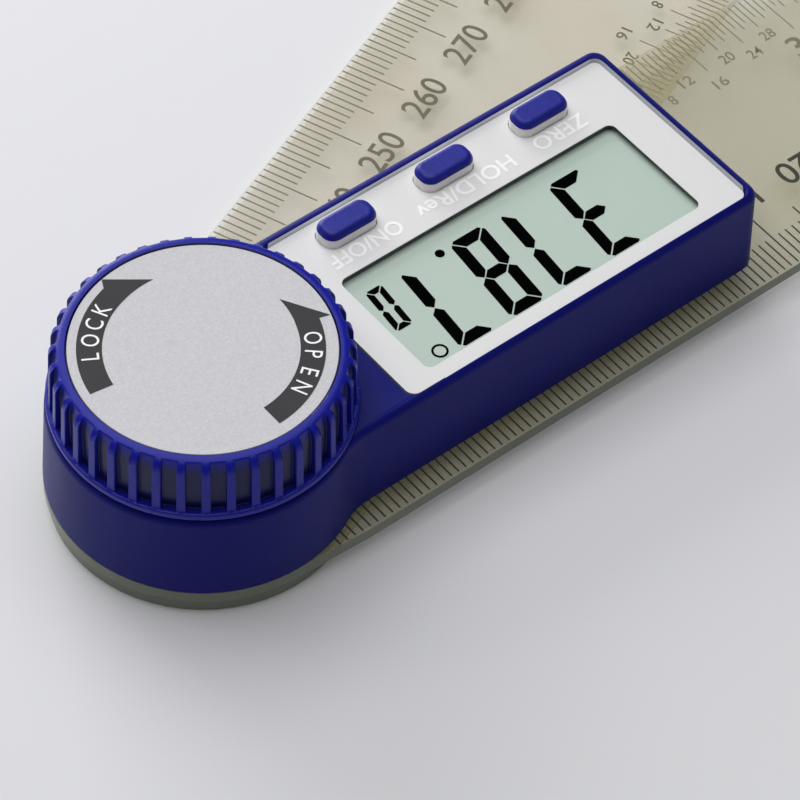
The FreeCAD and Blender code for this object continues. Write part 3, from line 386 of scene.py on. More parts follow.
@dataclass(frozen=True)
class ClearArm(Finish):
    """Slightly milky clear plastic: see-through faces and darker, denser cut edges."""

    face_alpha: float = 0.21
    edge_alpha: float = 0.93
    behind_alpha: float = 0.12
    edge: Colour = screen(114, 121, 104)
    far_edge: Colour = screen(96, 103, 88)
    far_alpha: float = 0.93
    change_starts: float = 20.0
    change_ends: float = 34.0
    cloud_per_metre: float = 45.0
    cloud_depth: float = 0.03
    edge_below: float = 0.35
    face_above: float = 0.9

    def dress(self, bench: Bench, shader: bpy.types.Node, effects: EffectGroups) -> None:
        """Fill the sockets; the face or edge is told by how far the surface leans.

        An edge seen from inside is nearly clear, and one far from the case can be paler.
        """
        place = bench.place()
        surface = bench.add("ShaderNodeNewGeometry").outputs
        normal = bench.add("ShaderNodeSeparateXYZ", {0: surface["True Normal"]})
        upright = bench.math("ABSOLUTE", normal.outputs[2])
        flat = bench.spread(upright, self.edge_below, self.face_above, 0.0, 1.0)
        reach = bench.add("ShaderNodeVectorMath", {0: place}, operation="LENGTH").outputs["Value"]
        far = bench.spread(reach, self.change_starts * MM, self.change_ends * MM, 0.0, 1.0)
        plain = self.colouring(bench, place, effects)
        cut = bench.blend(far, self.edge, self.far_edge)
        least, most = self.face_alpha - self.cloud_depth, self.face_alpha + self.cloud_depth
        milky = bench.cloud(place, self.cloud_per_metre, 3.0, least, most)
        front = bench.spread(far, 0.0, 1.0, self.edge_alpha, self.far_alpha)
        fall = bench.math("SUBTRACT", self.behind_alpha, front)
        dense = bench.math("ADD", front, bench.math("MULTIPLY", surface["Backfacing"], fall))
        alpha = bench.math("ADD", bench.math("MULTIPLY", flat, bench.math("SUBTRACT", milky, dense)), dense)
        bench.feed(shader, {"Base Color": bench.blend(flat, cut, plain), "Alpha": alpha})
        self.touch(bench, shader, place, effects)


@dataclass(frozen=True)
class ThinPane(Finish):
    """Clear window: hardly seen from straight on, brighter at a grazing angle."""

    least: float = 0.0
    most: float = 0.5
    index: float = 1.45
    starts: float = 0.05
    ends: float = 0.6

    def dress(self, bench: Bench, shader: bpy.types.Node, effects: EffectGroups) -> None:
        """Fill the sockets; the alpha follows the Fresnel share on the outside."""
        super().dress(bench, shader, effects)
        glance = bench.add("ShaderNodeFresnel", {"IOR": self.index}).outputs[0]
        outside = bench.math("SUBTRACT", 1.0, bench.add("ShaderNodeNewGeometry").outputs["Backfacing"])
        seen = bench.spread(glance, self.starts, self.ends, self.least, self.most)
        bench.feed(shader, {"Alpha": bench.math("MULTIPLY", seen, outside)})


@dataclass(frozen=True)
class PrintedBoard(Finish):
    """Circuit board: solder mask over tracks, with bare plated pads."""

    track: Colour = screen(46, 122, 78)
    pad: Colour = screen(206, 176, 98)
    pitch: float = 1.27
    track_width: float = 0.12
    track_length: float = 9.0
    pad_pitch: float = 3.0
    pad_share: float = 0.16
    pad_scatter: float = 0.35

    def colouring(self, bench: Bench, place: object, effects: EffectGroups) -> Socket:
        """Give the mask's colour with tracks and a grid of small pads."""
        plain = super().colouring(bench, place, effects)
        runs = bench.add("ShaderNodeTexBrick", {
            "Vector": place, "Color1": (0, 0, 0, 1), "Color2": (0, 0, 0, 1), "Mortar": (1, 1, 1, 1),
            "Scale": 1.0, "Mortar Size": self.track_width * MM, "Brick Width": self.track_length * MM,
            "Row Height": self.pitch * MM})
        dots = bench.add("ShaderNodeTexVoronoi",
                         {"Vector": place, "Scale": 1.0 / (self.pad_pitch * MM),
                          "Randomness": self.pad_scatter})
        pads = bench.math("LESS_THAN", dots.outputs["Distance"], self.pad_share)
        tracks = bench.blend(runs.outputs["Color"], plain, self.track)
        return bench.blend(pads, tracks, self.pad)


@dataclass(frozen=True)
class RotorBoard(PrintedBoard):
    """Sensor rotor: radial plated fields round the axis."""

    fields: float = 24.0
    inner: float = 6.2
    outer: float = 10.2

    def colouring(self, bench: Bench, place: object, effects: EffectGroups) -> Socket:
        """Give the mask's colour with a ring of radial fields."""
        plain = Finish.colouring(self, bench, place, effects)
        along, across, _up = bench.add("ShaderNodeSeparateXYZ", {0: place}).outputs
        wave = bench.math("SINE", bench.math("MULTIPLY", bench.math("ARCTAN2", across, along), self.fields))
        squares = [bench.math("MULTIPLY", side, side) for side in (along, across)]
        reach = bench.math("SQRT", bench.math("ADD", *squares))
        band = bench.math("MULTIPLY", bench.math("GREATER_THAN", reach, self.inner * MM),
                          bench.math("LESS_THAN", reach, self.outer * MM))
        plated = bench.math("MULTIPLY", band, bench.math("GREATER_THAN", wave, 0.0))
        return bench.blend(plated, plain, self.pad)


def scale_ink(name: str, colour: Colour) -> Finish:
    """Give the worn ink of a ruler's scale."""
    return Finish(name, colour, 0.55, drift=0.12, drift_per_metre=300.0)


def sheet_plastic(name: str, colour: Colour, **own: object) -> ClearArm:
    """Give the clear sheet plastic of an arm, with what is its own."""
    return ClearArm(name, colour, 0.24, 0.1, drift=0.03, drift_per_metre=35.0, grain_per_metre=900.0,
                    grain_depth=0.006, **own)


def spun_metal(name: str, colour: Colour, roughness: float, spread: float, lines: float,
               depth: float) -> DrawnMetal:
    """Give a bright metal with fine drawn lines."""
    return DrawnMetal(name, colour, roughness, spread, lines_per_metre=lines, grain_depth=depth)


class Finishes:
    """Every finish of the tool, by the record's slot, and the inks."""

    PLATE_WHITE = screen(226, 226, 226)
    MASK_GREEN = screen(24, 84, 54)

    # On the case: painted shade in the seam round the face plate.
    SEAM = PaintedBox((16.95, -13.3, 13.7), (60.0, 12.4, 14.6), screen(3, 4, 18), 1.2)
    # A silver band painted on the lip's inner side, standing in for the plate's reflection there.
    STEP = PaintedBox((17.7, -12.7, 13.72), (64.95, 12.86, 14.5), screen(206, 207, 215), 1.2)
    # On the plate: painted shade on its edge beside the hub, and the plain face past it.
    PLATE_RIM = PaintedBox((16.0, -14.0, 13.5), (22.0, 14.0, 14.3), screen(12, 13, 26), 0.1)
    PLATE_FACE = PaintedBox((17.6, -12.85, 13.5), (70.0, 14.5, 14.3), PLATE_WHITE, 1.2)
    # Painted shade on the cut edge of the plate's window.
    WINDOW_RIM = PaintedBox((19.5, -12.5, 13.0), (61.5, 5.8, 14.11), screen(60, 66, 62), 0.5)
    # On the knob: painted shade on the floors between the ribs, fading out upwards.
    FLUTE_FLOORS = PaintedBox((-15.5, -15.5, 12.0), (15.5, 15.5, 22.3), screen(12, 16, 80), 15.5, 1.2)
    # Painted shade in the seat of the disc.
    DISC_SEAT = PaintedBox((-14.14, -14.14, 22.0), (14.14, 14.14, 22.9), screen(14, 19, 100), 14.14)

    BY_SLOT: dict[str, Finish] = {
        "clear_arm": sheet_plastic("clear arm plastic", screen(190, 184, 138), face_alpha=0.27),
        "film": Finish("slip film", screen(214, 212, 204), 0.45, grain_per_metre=2500.0),
        "blue_case": Finish("blue case plastic", screen(14, 19, 112), 0.4, 0.08, specular=0.11,
                            boxes=(SEAM, STEP)),
        "knob_blue": Finish("blue knob plastic", screen(17, 24, 150), 0.3, 0.08, drift=0.04, specular=0.24,
                            boxes=(FLUTE_FLOORS, DISC_SEAT)),
        "button_blue": Finish("blue button caps", screen(28, 34, 140), 0.32, drift=0.08,
                              drift_per_metre=400.0, grain_per_metre=1800.0, grain_depth=0.03, specular=0.26),
        "button_grey": Finish("silver button skirts", screen(244, 241, 240), 0.3, 0.05, drift=0.02,
                              grain_depth=0.003),
        "base": Finish("blue base plastic", screen(14, 19, 108), 0.42, 0.1, specular=0.11),
        "plate": MetallicPaint("silver white plate paint", PLATE_WHITE, 0.34, 0.06, drift=0.01,
                               flakes=0.02, flakes_per_metre=6000.0, grain_depth=0.004, specular=0.3,
                               boxes=(PLATE_RIM, PLATE_FACE, WINDOW_RIM)),
        "disc": MetallicPaint("silver knob disc", screen(203, 203, 207), 0.38, 0.06, drift=0.008,
                              flakes=0.12, flakes_per_metre=5200.0, grain_depth=0.005, specular=0.3),
        "pane": ThinPane("clear window", screen(238, 242, 240), 0.05, 0.02, grain_per_metre=100.0,
                         grain_depth=0.0),
        "lcd_glass": Finish("display glass", screen(186, 203, 192), 0.3, 0.03, drift=0.012,
                            drift_per_metre=30.0, grain_per_metre=6000.0, grain_depth=0.0005, specular=0.3),
        "black_plastic": Finish("black moulded frame", screen(30, 31, 33), 0.5),
        "strip_rubber": Finish("connector strip rubber", screen(205, 205, 200), 0.6, 0.1,
                               grain_per_metre=7000.0),
        "board": PrintedBoard("circuit board", MASK_GREEN, 0.35, 0.1, drift=0.06),
        "screw_steel": spun_metal("screw steel", screen(178, 180, 184), 0.3, 0.2, 1600.0, 0.006),
        "spring_steel": spun_metal("spring steel", screen(196, 196, 194), 0.25, 0.2, 2200.0, 0.004),
        "cell_steel": spun_metal("battery steel", screen(206, 207, 210), 0.22, 0.15, 1400.0, 0.003),
        "bush": Finish("bearing plastic", screen(226, 222, 208), 0.38, 0.1, drift=0.03),
        "insert_brass": spun_metal("insert brass", screen(208, 168, 88), 0.28, 0.2, 1500.0, 0.006),
    }
    OWN: dict[str, Finish] = {
        "sensor_rotor": RotorBoard("rotor board", MASK_GREEN, 0.35, 0.1),
        "moving_arm": sheet_plastic("lower clear arm plastic", screen(211, 200, 156),
                                    far_edge=screen(206, 203, 170), far_alpha=0.3),
    }
    FIXED_INK = scale_ink("fixed arm ink", screen(46, 46, 34))
    INCH_INK = scale_ink("inch scale ink", screen(124, 120, 96))
    LOWER_INK = scale_ink("lower arm ink", screen(104, 98, 76))
    LOWER_MARKS = scale_ink("lower arm marks", screen(124, 118, 92))
    FIGURES = Finish("display figures", screen(4, 5, 5), 0.6, drift=0.2, drift_per_metre=500.0, specular=0.0)
    LABELS = Finish("white label ink", screen(250, 250, 250), 0.5, drift=0.01)
    ARROWS = Finish("dark grey arrow ink", screen(54, 54, 57), 0.5, drift_per_metre=500.0, specular=0.2)

    def __init__(self, effects: EffectGroups) -> None:
        """Keep the shared effects and start with no material made."""
        self.effects = effects
        self.made: dict[str, bpy.types.Material] = {}

    def of(self, finish: Finish) -> bpy.types.Material:
        """Give the material of a finish, made at its first use."""
        if finish.name not in self.made:
            self.made[finish.name] = finish.material(self.effects)
        return self.made[finish.name]

    def slot(self, name: str) -> bpy.types.Material:
        """Give the material of a record's slot."""
        return self.of(self.BY_SLOT[name])

    def dress_nodes(self) -> None:
        """Put a finish on every slot of every carried-over solid."""
        for name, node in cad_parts.items():
            for holder in node.material_slots:
                slot = holder.material.name.split(".")[0] if holder.material else ""
                if name in self.OWN:
                    holder.material = self.of(self.OWN[name])
                elif slot in self.BY_SLOT:
                    holder.material = self.slot(slot)
                else:
                    LOG.warning("no finish for slot %r of %s", slot, name)
        LOG.info("finishes on %d solids", len(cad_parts))


# ---------------------------------------------------------------- shapes


def show(item: bpy.types.Object) -> bpy.types.Object:
    """Link an object into the scene and give it back."""
    bpy.context.scene.collection.objects.link(item)
    return item


def baked(holder: bpy.types.Object) -> bpy.types.Mesh:
    """Give a new mesh of the object with its modifiers applied."""
    bpy.context.view_layer.update()
    return bpy.data.meshes.new_from_object(holder.evaluated_get(bpy.context.evaluated_depsgraph_get()))


def add_piece(mesh: bpy.types.Mesh, name: str, body: str, material: bpy.types.Material,
              replaces: str = "") -> bpy.types.Object:
    """Show a finished mesh as a piece of the tool.

    Args:
        mesh: The mesh, in place in the part's frame.
        name: Name of the piece.
        body: Body that it moves with.
        material: Its finish.
        replaces: Solid that it stands for, if any.

    Returns:
        The piece.
    """
    mesh.materials.clear()
    mesh.materials.append(material)
    piece = show(bpy.data.objects.new(name, mesh))
    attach(piece, body)
    if replaces:
        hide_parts(replaces)
    LOG.info("%s: %d faces on %s", name, len(mesh.polygons), body)
    return piece


@dataclass
class SoftShell:
    """A moulded solid with its sharp edges broken, as the tool leaves them.

    Edges that lie wholly above the crisp level, in millimetres, stay sharp.
    """

    node: str
    body: str
    slot: str
    edge: float = 0.12
    steps: int = 2
    sharp: float = 32.0
    crisp: float = 1000.0

    MERGE_REACH = 0.002
    FLAT_ANGLE = 0.4

    def build(self, finishes: Finishes) -> bpy.types.Object:
        """Merge a copy of the solid, round its edges and show it in the solid's place."""
        work = bmesh.new()
        work.from_mesh(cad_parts[self.node].data)
        bmesh.ops.remove_doubles(work, verts=work.verts, dist=self.MERGE_REACH * MM)
        bmesh.ops.dissolve_limit(work, angle_limit=math.radians(self.FLAT_ANGLE), verts=work.verts,
                                 edges=work.edges)
        broken = work.edges.layers.float.new("bevel_weight_edge")
        for edge in work.edges:
            bent = edge.is_manifold and edge.calc_face_angle() > math.radians(self.sharp)
            edge[broken] = float(bent and min(v.co.z for v in edge.verts) < self.crisp * MM)
        mesh = bpy.data.meshes.new(self.node + "_merged")
        work.to_mesh(mesh)
        work.free()
        holder = show(bpy.data.objects.new(self.node + "_work", mesh))
        bevel = holder.modifiers.new("Broken edges", "BEVEL")
        bevel.width = self.edge * MM
        bevel.segments = self.steps
        bevel.limit_method = "WEIGHT"
        bevel.use_clamp_overlap = False
        shade = holder.modifiers.new("Face weights", "WEIGHTED_NORMAL")
        shade.keep_sharp = True
        mesh.shade_smooth()
        done = baked(holder)
        bpy.data.objects.remove(holder)
        done.name = self.node + "_shell"
        finish = finishes.of(finishes.OWN.get(self.node, finishes.BY_SLOT[self.slot]))
        return add_piece(done, self.node + "_shell", self.body, finish, self.node)


class Letters:
    """Text in Blender's own font, as meshes one unit high, kept for reuse."""

    def __init__(self, weight: float = 0.0) -> None:
        """Start with no glyphs; the weight swells the strokes."""
        self.weight = weight
        self.known: dict[str, tuple[list[Vector], list[list[int]]]] = {}
        flat = self._convert("H")
        self.capital = max(v.y for v in flat[0]) - min(v.y for v in flat[0])

    def _convert(self, words: str) -> tuple[list[Vector], list[list[int]]]:
        """Make the words a closed mesh, one unit thick."""
        curve = bpy.data.curves.new("print", "FONT")
        curve.body = words
        curve.extrude = 0.5
        curve.offset = self.weight
        curve.resolution_u = 4
        holder = bpy.data.objects.new("print", curve)
        mesh = bpy.data.meshes.new_from_object(holder)
        work = bmesh.new()
        work.from_mesh(mesh)
        bmesh.ops.remove_doubles(work, verts=work.verts, dist=1e-5)
        bmesh.ops.recalc_face_normals(work, faces=work.faces)
        work.verts.index_update()
        result = [v.co.copy() for v in work.verts], [[v.index for v in f.verts] for f in work.faces]
        work.free()
        bpy.data.objects.remove(holder)
        bpy.data.curves.remove(curve)
        bpy.data.meshes.remove(mesh)
        return result

    def glyphs(self, words: str) -> tuple[list[Vector], list[list[int]]]:
        """Give points and faces of the words, centred, one capital high and one unit thick."""
        if words not in self.known:
            points, faces = self._convert(words)
            middle = (min(v.x for v in points) + max(v.x for v in points)) / 2
            self.known[words] = [Vector(((v.x - middle) / self.capital, v.y / self.capital - 0.5, v.z + 0.5))
                                 for v in points], faces
        return self.known[words]

    def width(self, words: str) -> float:
        """Give the words' own width at one capital high."""
        points, _faces = self.glyphs(words)
        return max(p.x for p in points) - min(p.x for p in points)


@dataclass
class PrintLayer:
    """Ink or film on one level: thin closed prisms gathered in one mesh."""

    name: str
    level: float
    gap: float = 0.008
    thick: float = 0.02
    work: bmesh.types.BMesh = field(default_factory=bmesh.new)

    def _heights(self) -> tuple[float, float]:
        """Give the lower and upper height of the ink in metres."""
        low = self.level + self.gap
        return low * MM, (low + self.thick) * MM

    def polygon(self, outline: list[Point2]) -> None:
        """Add a prism over a closed outline.

        Args:
            outline: Corners in millimetres, in either sense.
        """
        turned = sum(a[0] * b[1] - b[0] * a[1] for a, b in zip(outline, outline[1:] + outline[:1]))
        corners = outline if turned > 0 else outline[::-1]
        low, high = self._heights()
        under = [self.work.verts.new((x * MM, y * MM, low)) for x, y in corners]
        over = [self.work.verts.new((x * MM, y * MM, high)) for x, y in corners]
        self.work.faces.new(over)
        self.work.faces.new(under[::-1])
        for number in range(len(corners)):
            after = (number + 1) % len(corners)
            self.work.faces.new((under[number], under[after], over[after], over[number]))

    def ring(self, centre: Point2, outer: float, inner: float, parts: int = 40) -> None:
        """Add a flat ring.

        Args:
            centre: Its centre in millimetres.
            outer: Outer radius.
            inner: Inner radius.
            parts: Number of straight parts round it.
        """
        low, high = self._heights()
        loops = []
        for radius, height in ((inner, low), (outer, low), (outer, high), (inner, high)):
            loops.append([self.work.verts.new(((centre[0] + radius * math.cos(a)) * MM,
                                               (centre[1] + radius * math.sin(a)) * MM, height))
                          for a in (2 * math.pi * n / parts for n in range(parts))])
        for here, there in zip(loops, loops[1:] + loops[:1]):
            for number in range(parts):
                after = (number + 1) % parts
                self.work.faces.new((here[number], here[after], there[after], there[number]))

    def words(self, letters: Letters, text: str, height: float, centre: Point2, turn: float,
              width: float | None = None) -> None:
        """Add words.

        Args:
            letters: Source of the glyphs.
            text: The words.
            height: Height of a capital.
            centre: Where the middle of the words goes.
            turn: Angle of the reading direction from +X, in degrees.
            width: Width that the words fill; by the font if left out.
        """
        points, faces = letters.glyphs(text)
        across = height if width is None else width / letters.width(text)
        low, high = self._heights()
        spin = Matrix.Rotation(math.radians(turn), 2)
        made = []
        for point in points:
            flat = spin @ Vector((point.x * across, point.y * height))
            made.append(self.work.verts.new(((centre[0] + flat.x) * MM, (centre[1] + flat.y) * MM,
                                             low + (high - low) * point.z)))
        for face in faces:
            self.work.faces.new([made[n] for n in face])

    def finish(self, body: str, slot: str, material: bpy.types.Material) -> bpy.types.Object:
        """Close the layer and show it as a piece."""
        bmesh.ops.triangulate(self.work, faces=[f for f in self.work.faces if len(f.verts) > 4])
        bmesh.ops.recalc_face_normals(self.work, faces=self.work.faces)
        mesh = bpy.data.meshes.new(self.name)
        self.work.to_mesh(mesh)
        self.work.free()
        return add_piece(mesh, self.name, body, material)


# ---------------------------------------------------------------- scale marks


@dataclass(frozen=True)
class Marks:
    """One row of scale marks: counts, lengths and place in millimetres."""

    name: str
    count: int
    pitch: float
    first: int
    lengths: tuple[tuple[int, float], ...]
    place: tuple[float, float, float]
    turn: float
    width: float = 0.2


class MarkTree:
    """Geometry Nodes tree that lays out a row of marks with longer ones at even counts."""

    LEVELS = 5
    NEVER = 10 ** 6 + 7

    def __init__(self) -> None:
        """Build the tree once."""
        tree = bpy.data.node_groups.new("Scale marks", "GeometryNodeTree")
        self.tree = tree
        self.inputs: dict[str, str] = {}
        tree.interface.new_socket("Geometry", in_out="OUTPUT", socket_type="NodeSocketGeometry")
        kinds = [("Count", "NodeSocketInt"), ("First", "NodeSocketInt")]
        kinds += [(name, "NodeSocketFloat") for name in ("Pitch", "Width", "Thickness", "Length")]
        for level in range(self.LEVELS):
            kinds += [("Every %d" % level, "NodeSocketInt"), ("Length %d" % level, "NodeSocketFloat")]
        kinds += [("Place", "NodeSocketVector"), ("Turn", "NodeSocketVector"), ("Ink", "NodeSocketMaterial")]
        for name, kind in kinds:
            self.inputs[name] = tree.interface.new_socket(name, in_out="INPUT", socket_type=kind).identifier
        self._lay_out(Bench(tree))

    def _lay_out(self, bench: Bench) -> None:
        """Add the nodes: a line of points, one block on each, its length by its count."""
        given = bench.add("NodeGroupInput").outputs
        step = bench.add("ShaderNodeCombineXYZ", {0: given["Pitch"]})
        line = bench.add("GeometryNodeMeshLine", {"Count": given["Count"], "Offset": step.outputs[0]},
                         mode="OFFSET")
        number = bench.add("FunctionNodeIntegerMath", {0: bench.add("GeometryNodeInputIndex").outputs[0],
                                                       1: given["First"]}, operation="ADD")
        length = given["Length"]
        for level in range(self.LEVELS):
            rest = bench.add("FunctionNodeIntegerMath", {0: number.outputs[0], 1: given["Every %d" % level]},
                             operation="MODULO")
            even = bench.add("FunctionNodeCompare", {2: rest.outputs[0]}, data_type="INT", operation="EQUAL")
            pick = bench.add("GeometryNodeSwitch", {"Switch": even.outputs[0], "False": length,
                                                    "True": given["Length %d" % level]}, input_type="FLOAT")
            length = pick.outputs[0]
        block = bench.add("GeometryNodeMeshCube", {"Size": (1.0, 1.0, 1.0)})
        seated = bench.add("GeometryNodeTransform",
                           {"Geometry": block.outputs[0], "Translation": (0.0, -0.5, 0.5)})
        size = bench.add("ShaderNodeCombineXYZ", {0: given["Width"], 1: length, 2: given["Thickness"]})
        row = bench.add("GeometryNodeInstanceOnPoints", {
            "Points": line.outputs[0], "Instance": seated.outputs[0], "Scale": size.outputs[0]})
        turn = bench.add("FunctionNodeEulerToRotation", {0: given["Turn"]})
        put = bench.add("GeometryNodeTransform", {"Geometry": row.outputs[0], "Translation": given["Place"],
                                                  "Rotation": turn.outputs[0]})
        real = bench.add("GeometryNodeRealizeInstances", {0: put.outputs[0]})
        inked = bench.add("GeometryNodeSetMaterial", {"Geometry": real.outputs[0], "Material": given["Ink"]})
        bench.add("NodeGroupOutput", {0: inked.outputs[0]})

    def mesh(self, marks: Marks, ink: bpy.types.Material, thick: float = 0.02) -> bpy.types.Mesh:
        """Run the tree for one row.

        Args:
            marks: The row.
            ink: Its finish.
            thick: Thickness of the ink in millimetres.

        Returns:
            A plain mesh in place.
        """
        name = marks.name + "_row"
        holder = show(bpy.data.objects.new(name, bpy.data.meshes.new(name)))
        modifier = holder.modifiers.new("Marks", "NODES")
        modifier.node_group = self.tree
        unused = self.LEVELS + 1 - len(marks.lengths)
        levels = list(marks.lengths[1:]) + [(self.NEVER, 1.0)] * unused
        values: dict[str, object] = {
            "Count": marks.count, "First": marks.first, "Pitch": marks.pitch * MM, "Width": marks.width * MM,
            "Thickness": thick * MM, "Length": marks.lengths[0][1] * MM, "Ink": ink,
            "Place": tuple(value * MM for value in marks.place), "Turn": (0.0, 0.0, math.radians(marks.turn))}
        for level, (every, length) in enumerate(levels):
            values["Every %d" % level] = every
            values["Length %d" % level] = length * MM
        for socket, value in values.items():
            modifier[self.inputs[socket]] = value
        mesh = baked(holder)
        holder.modifiers.clear()
        bpy.data.objects.remove(holder)
        return mesh


# ---------------------------------------------------------------- sub-assemblies


@dataclass
class RulerArms:
    """Both clear arms with their millimetre and inch scales.

    Places across an arm are measured from the line through the pivot.
    """

    lower_turn: float = 21.8
    top: float = 3.35
    lower_top: float = 1.6
    reach: float = 200.0
    inch_start: float = 17.9
    inches: int = 7
    marks: int = 196
    first_lower_mark: int = 12
    lower_marks: int = 188
    last_figure: int = 130
    last_lower_figure: int = 190
    inch_mark_width: float = 0.15
    metric_edge: float = -17.2
    inch_edge: float = 17.0
    lower_edge: float = 16.75
    metric_figures: float = -6.7
    inch_figures: float = 7.4
    lower_metric_figures: float = 6.6
    lower_inch_figures: float = -7.6
    figure_height: float = 3.2
    figure_width: float = 1.9
    figure_space: float = 0.085
    figure_shift: float = 0.25
    small_figure: float = 1.45
    ink_gap: float = 0.008

    PARTS = 32
    MILLIMETRE = ((1, 4.4), (5, 6.4), (10, 7.6))
    INCH_MARKS = ((1, 3.0), (2, 3.8), (4, 4.4), (8, 5.3), (16, 6.2), (32, 7.2))
    INCH_PARTS = {8: 9.7, 12: 11.0, 16: 8.5, 20: 11.0, 24: 9.7, 28: 11.0}

    def on_lower(self, along: float, off: float) -> Point2:
        """Give the place in the frame of a place on the lower arm."""
        turn = math.radians(self.lower_turn)
        return along * math.cos(turn) - off * math.sin(turn), along * math.sin(turn) + off * math.cos(turn)

    def build(self, finishes: Finishes, letters: Letters, tree: MarkTree) -> None:
        """Build and dress the arms, their marks and their figures."""
        SoftShell("fixed_arm", "case", "clear_arm").build(finishes)
        SoftShell("moving_arm", "moving_arm", "clear_arm").build(finishes)
        self._marks(finishes, tree)
        self._fixed_figures(finishes, letters)
        self._lower_figures(finishes, letters)

    def _marks(self, finishes: Finishes, tree: MarkTree) -> None:
        """Lay out the four rows of marks."""
        upper, lower = self.top + self.ink_gap, self.lower_top + self.ink_gap
        first = self.first_lower_mark
        metric_start = self.on_lower(first, self.lower_edge)
        inch_end = self.on_lower(self.inch_start + self.inches * INCH, -self.lower_edge)
        inch_marks, thin = self.inches * self.PARTS + 1, self.inch_mark_width
        rows = (
            ("fixed_arm_millimetres", self.marks, 1.0, 0, self.MILLIMETRE,
             (self.reach, self.metric_edge, upper), 180.0),
            ("fixed_arm_inches", inch_marks, INCH / self.PARTS, 0, self.INCH_MARKS,
             (self.inch_start, self.inch_edge, upper), 0.0, thin),
            ("moving_arm_millimetres", self.lower_marks, 1.0, first, self.MILLIMETRE,
             (*metric_start, lower), self.lower_turn),
            ("moving_arm_inches", inch_marks, INCH / self.PARTS, 0, self.INCH_MARKS,
             (*inch_end, lower), self.lower_turn + 180.0, thin),
        )
        inks = (finishes.FIXED_INK, finishes.INCH_INK, finishes.LOWER_MARKS, finishes.LOWER_MARKS)
        for row, ink in zip(rows, inks):
            marks, material = Marks(*row), finishes.of(ink)
            body = "case" if marks.name.startswith("fixed") else "moving_arm"
            add_piece(tree.mesh(marks, material), marks.name, body, material)

    def _number(self, layer: PrintLayer, letters: Letters, value: int, centre: Point2, turn: float,
                height: float) -> None:
        """Add one number at a given height, its digits as wide as the scale's."""
        text = str(value)
        pitch = self.figure_width * height / self.figure_height
        width = pitch * len(text) + self.figure_space * height * (len(text) - 1)
        layer.words(letters, text, height, centre, turn, width)

    def _fixed_figures(self, finishes: Finishes, letters: Letters) -> None:
        """Number the fixed arm: millimetres along -Y, inches along +Y."""
        metric = PrintLayer("fixed_arm_numbers", self.top, self.ink_gap)
        for value in range(0, self.last_figure + 1, 10):
            self._number(metric, letters, value, (self.reach - value, self.metric_figures), 180.0,
                         self.figure_height)
        metric.finish("case", "clear_arm", finishes.of(finishes.FIXED_INK))
        inch = PrintLayer("fixed_arm_inch_numbers", self.top, self.ink_gap)
        for count, off in self.INCH_PARTS.items():
            along = self.inch_start + 2 * INCH + count * INCH / self.PARTS
            self._number(inch, letters, count, (along, off), 0.0, self.small_figure)
        for whole in range(3, self.inches + 1):
            along = self.inch_start + whole * INCH - self.figure_height / 2
            self._number(inch, letters, whole, (along, self.inch_figures), 0.0, self.figure_height)
        inch.finish("case", "clear_arm", finishes.of(finishes.INCH_INK))

    def _lower_figures(self, finishes: Finishes, letters: Letters) -> None:
        """Number the lower arm, which goes on from the fixed arm's 200 millimetres."""
        layer = PrintLayer("moving_arm_numbers", self.lower_top, self.ink_gap)
        back = self.lower_turn + 180.0
        for along in range(20, self.last_lower_figure + 1, 10):
            place = self.on_lower(along + self.figure_shift, self.lower_metric_figures)
            self._number(layer, letters, int(self.reach) + along, place, self.lower_turn, self.figure_height)
        for whole in range(1, self.inches + 1):
            place = self.on_lower(self.inch_start + whole * INCH, self.lower_inch_figures)
            self._number(layer, letters, self.inches + 1 - whole, place, back, self.figure_height)
        for count, off in self.INCH_PARTS.items():
            place = self.on_lower(self.inch_start + 3 * INCH - count * INCH / self.PARTS, -off)
            self._number(layer, letters, count, place, back, self.small_figure)
        layer.finish("moving_arm", "clear_arm", finishes.of(finishes.LOWER_INK))


class Segment(Enum):
    """The seven strokes of a display figure."""

    TOP = "a"
    UPPER_RIGHT = "b"
    LOWER_RIGHT = "c"
    BOTTOM = "d"
    LOWER_LEFT = "e"
    UPPER_LEFT = "f"
    MIDDLE = "g"


@dataclass(frozen=True)
class FigureShape:
    """Sizes of one display figure."""

    width: float
    height: float
    stroke: float
    gap: float = 0.1
    cut: float = 0.5
    lean: float = 5.5

    def outline(self, segment: Segment) -> list[Point2]:
        """Give the corners of a stroke, right and up from the figure's lower left corner."""
        wide, tall, stroke, gap, cut = self.width, self.height, self.stroke, self.gap, self.cut
        half = tall / 2
        if segment is Segment.MIDDLE:
            tip, shoulder = stroke / 2 + gap, stroke + gap
            flat = [(tip, half), (shoulder, half + stroke / 2), (wide - shoulder, half + stroke / 2),
                    (wide - tip, half), (wide - shoulder, half - stroke / 2), (shoulder, half - stroke / 2)]
        elif segment in (Segment.TOP, Segment.BOTTOM):
            flat = [(gap + cut, tall), (wide - gap - cut, tall), (wide - gap - cut / 2, tall - cut / 2),
                    (wide - gap - stroke, tall - stroke), (gap + stroke, tall - stroke),
                    (gap + cut / 2, tall - cut / 2)]
            if segment is Segment.BOTTOM:
                flat = [(x, tall - y) for x, y in flat]
        else:
            flat = [(0.0, tall - gap - cut), (cut / 2, tall - gap - cut / 2), (stroke, tall - stroke - gap),
                    (stroke, half + stroke / 2 + gap), (stroke / 2, half + gap / 2), (0.0, half + stroke / 2)]
            if segment in (Segment.LOWER_LEFT, Segment.LOWER_RIGHT):
                flat = [(x, tall - y) for x, y in flat]
            if segment in (Segment.UPPER_RIGHT, Segment.LOWER_RIGHT):
                flat = [(wide - x, y) for x, y in flat]
        slope = math.tan(math.radians(self.lean))
        return [(x + y * slope, y) for x, y in flat]


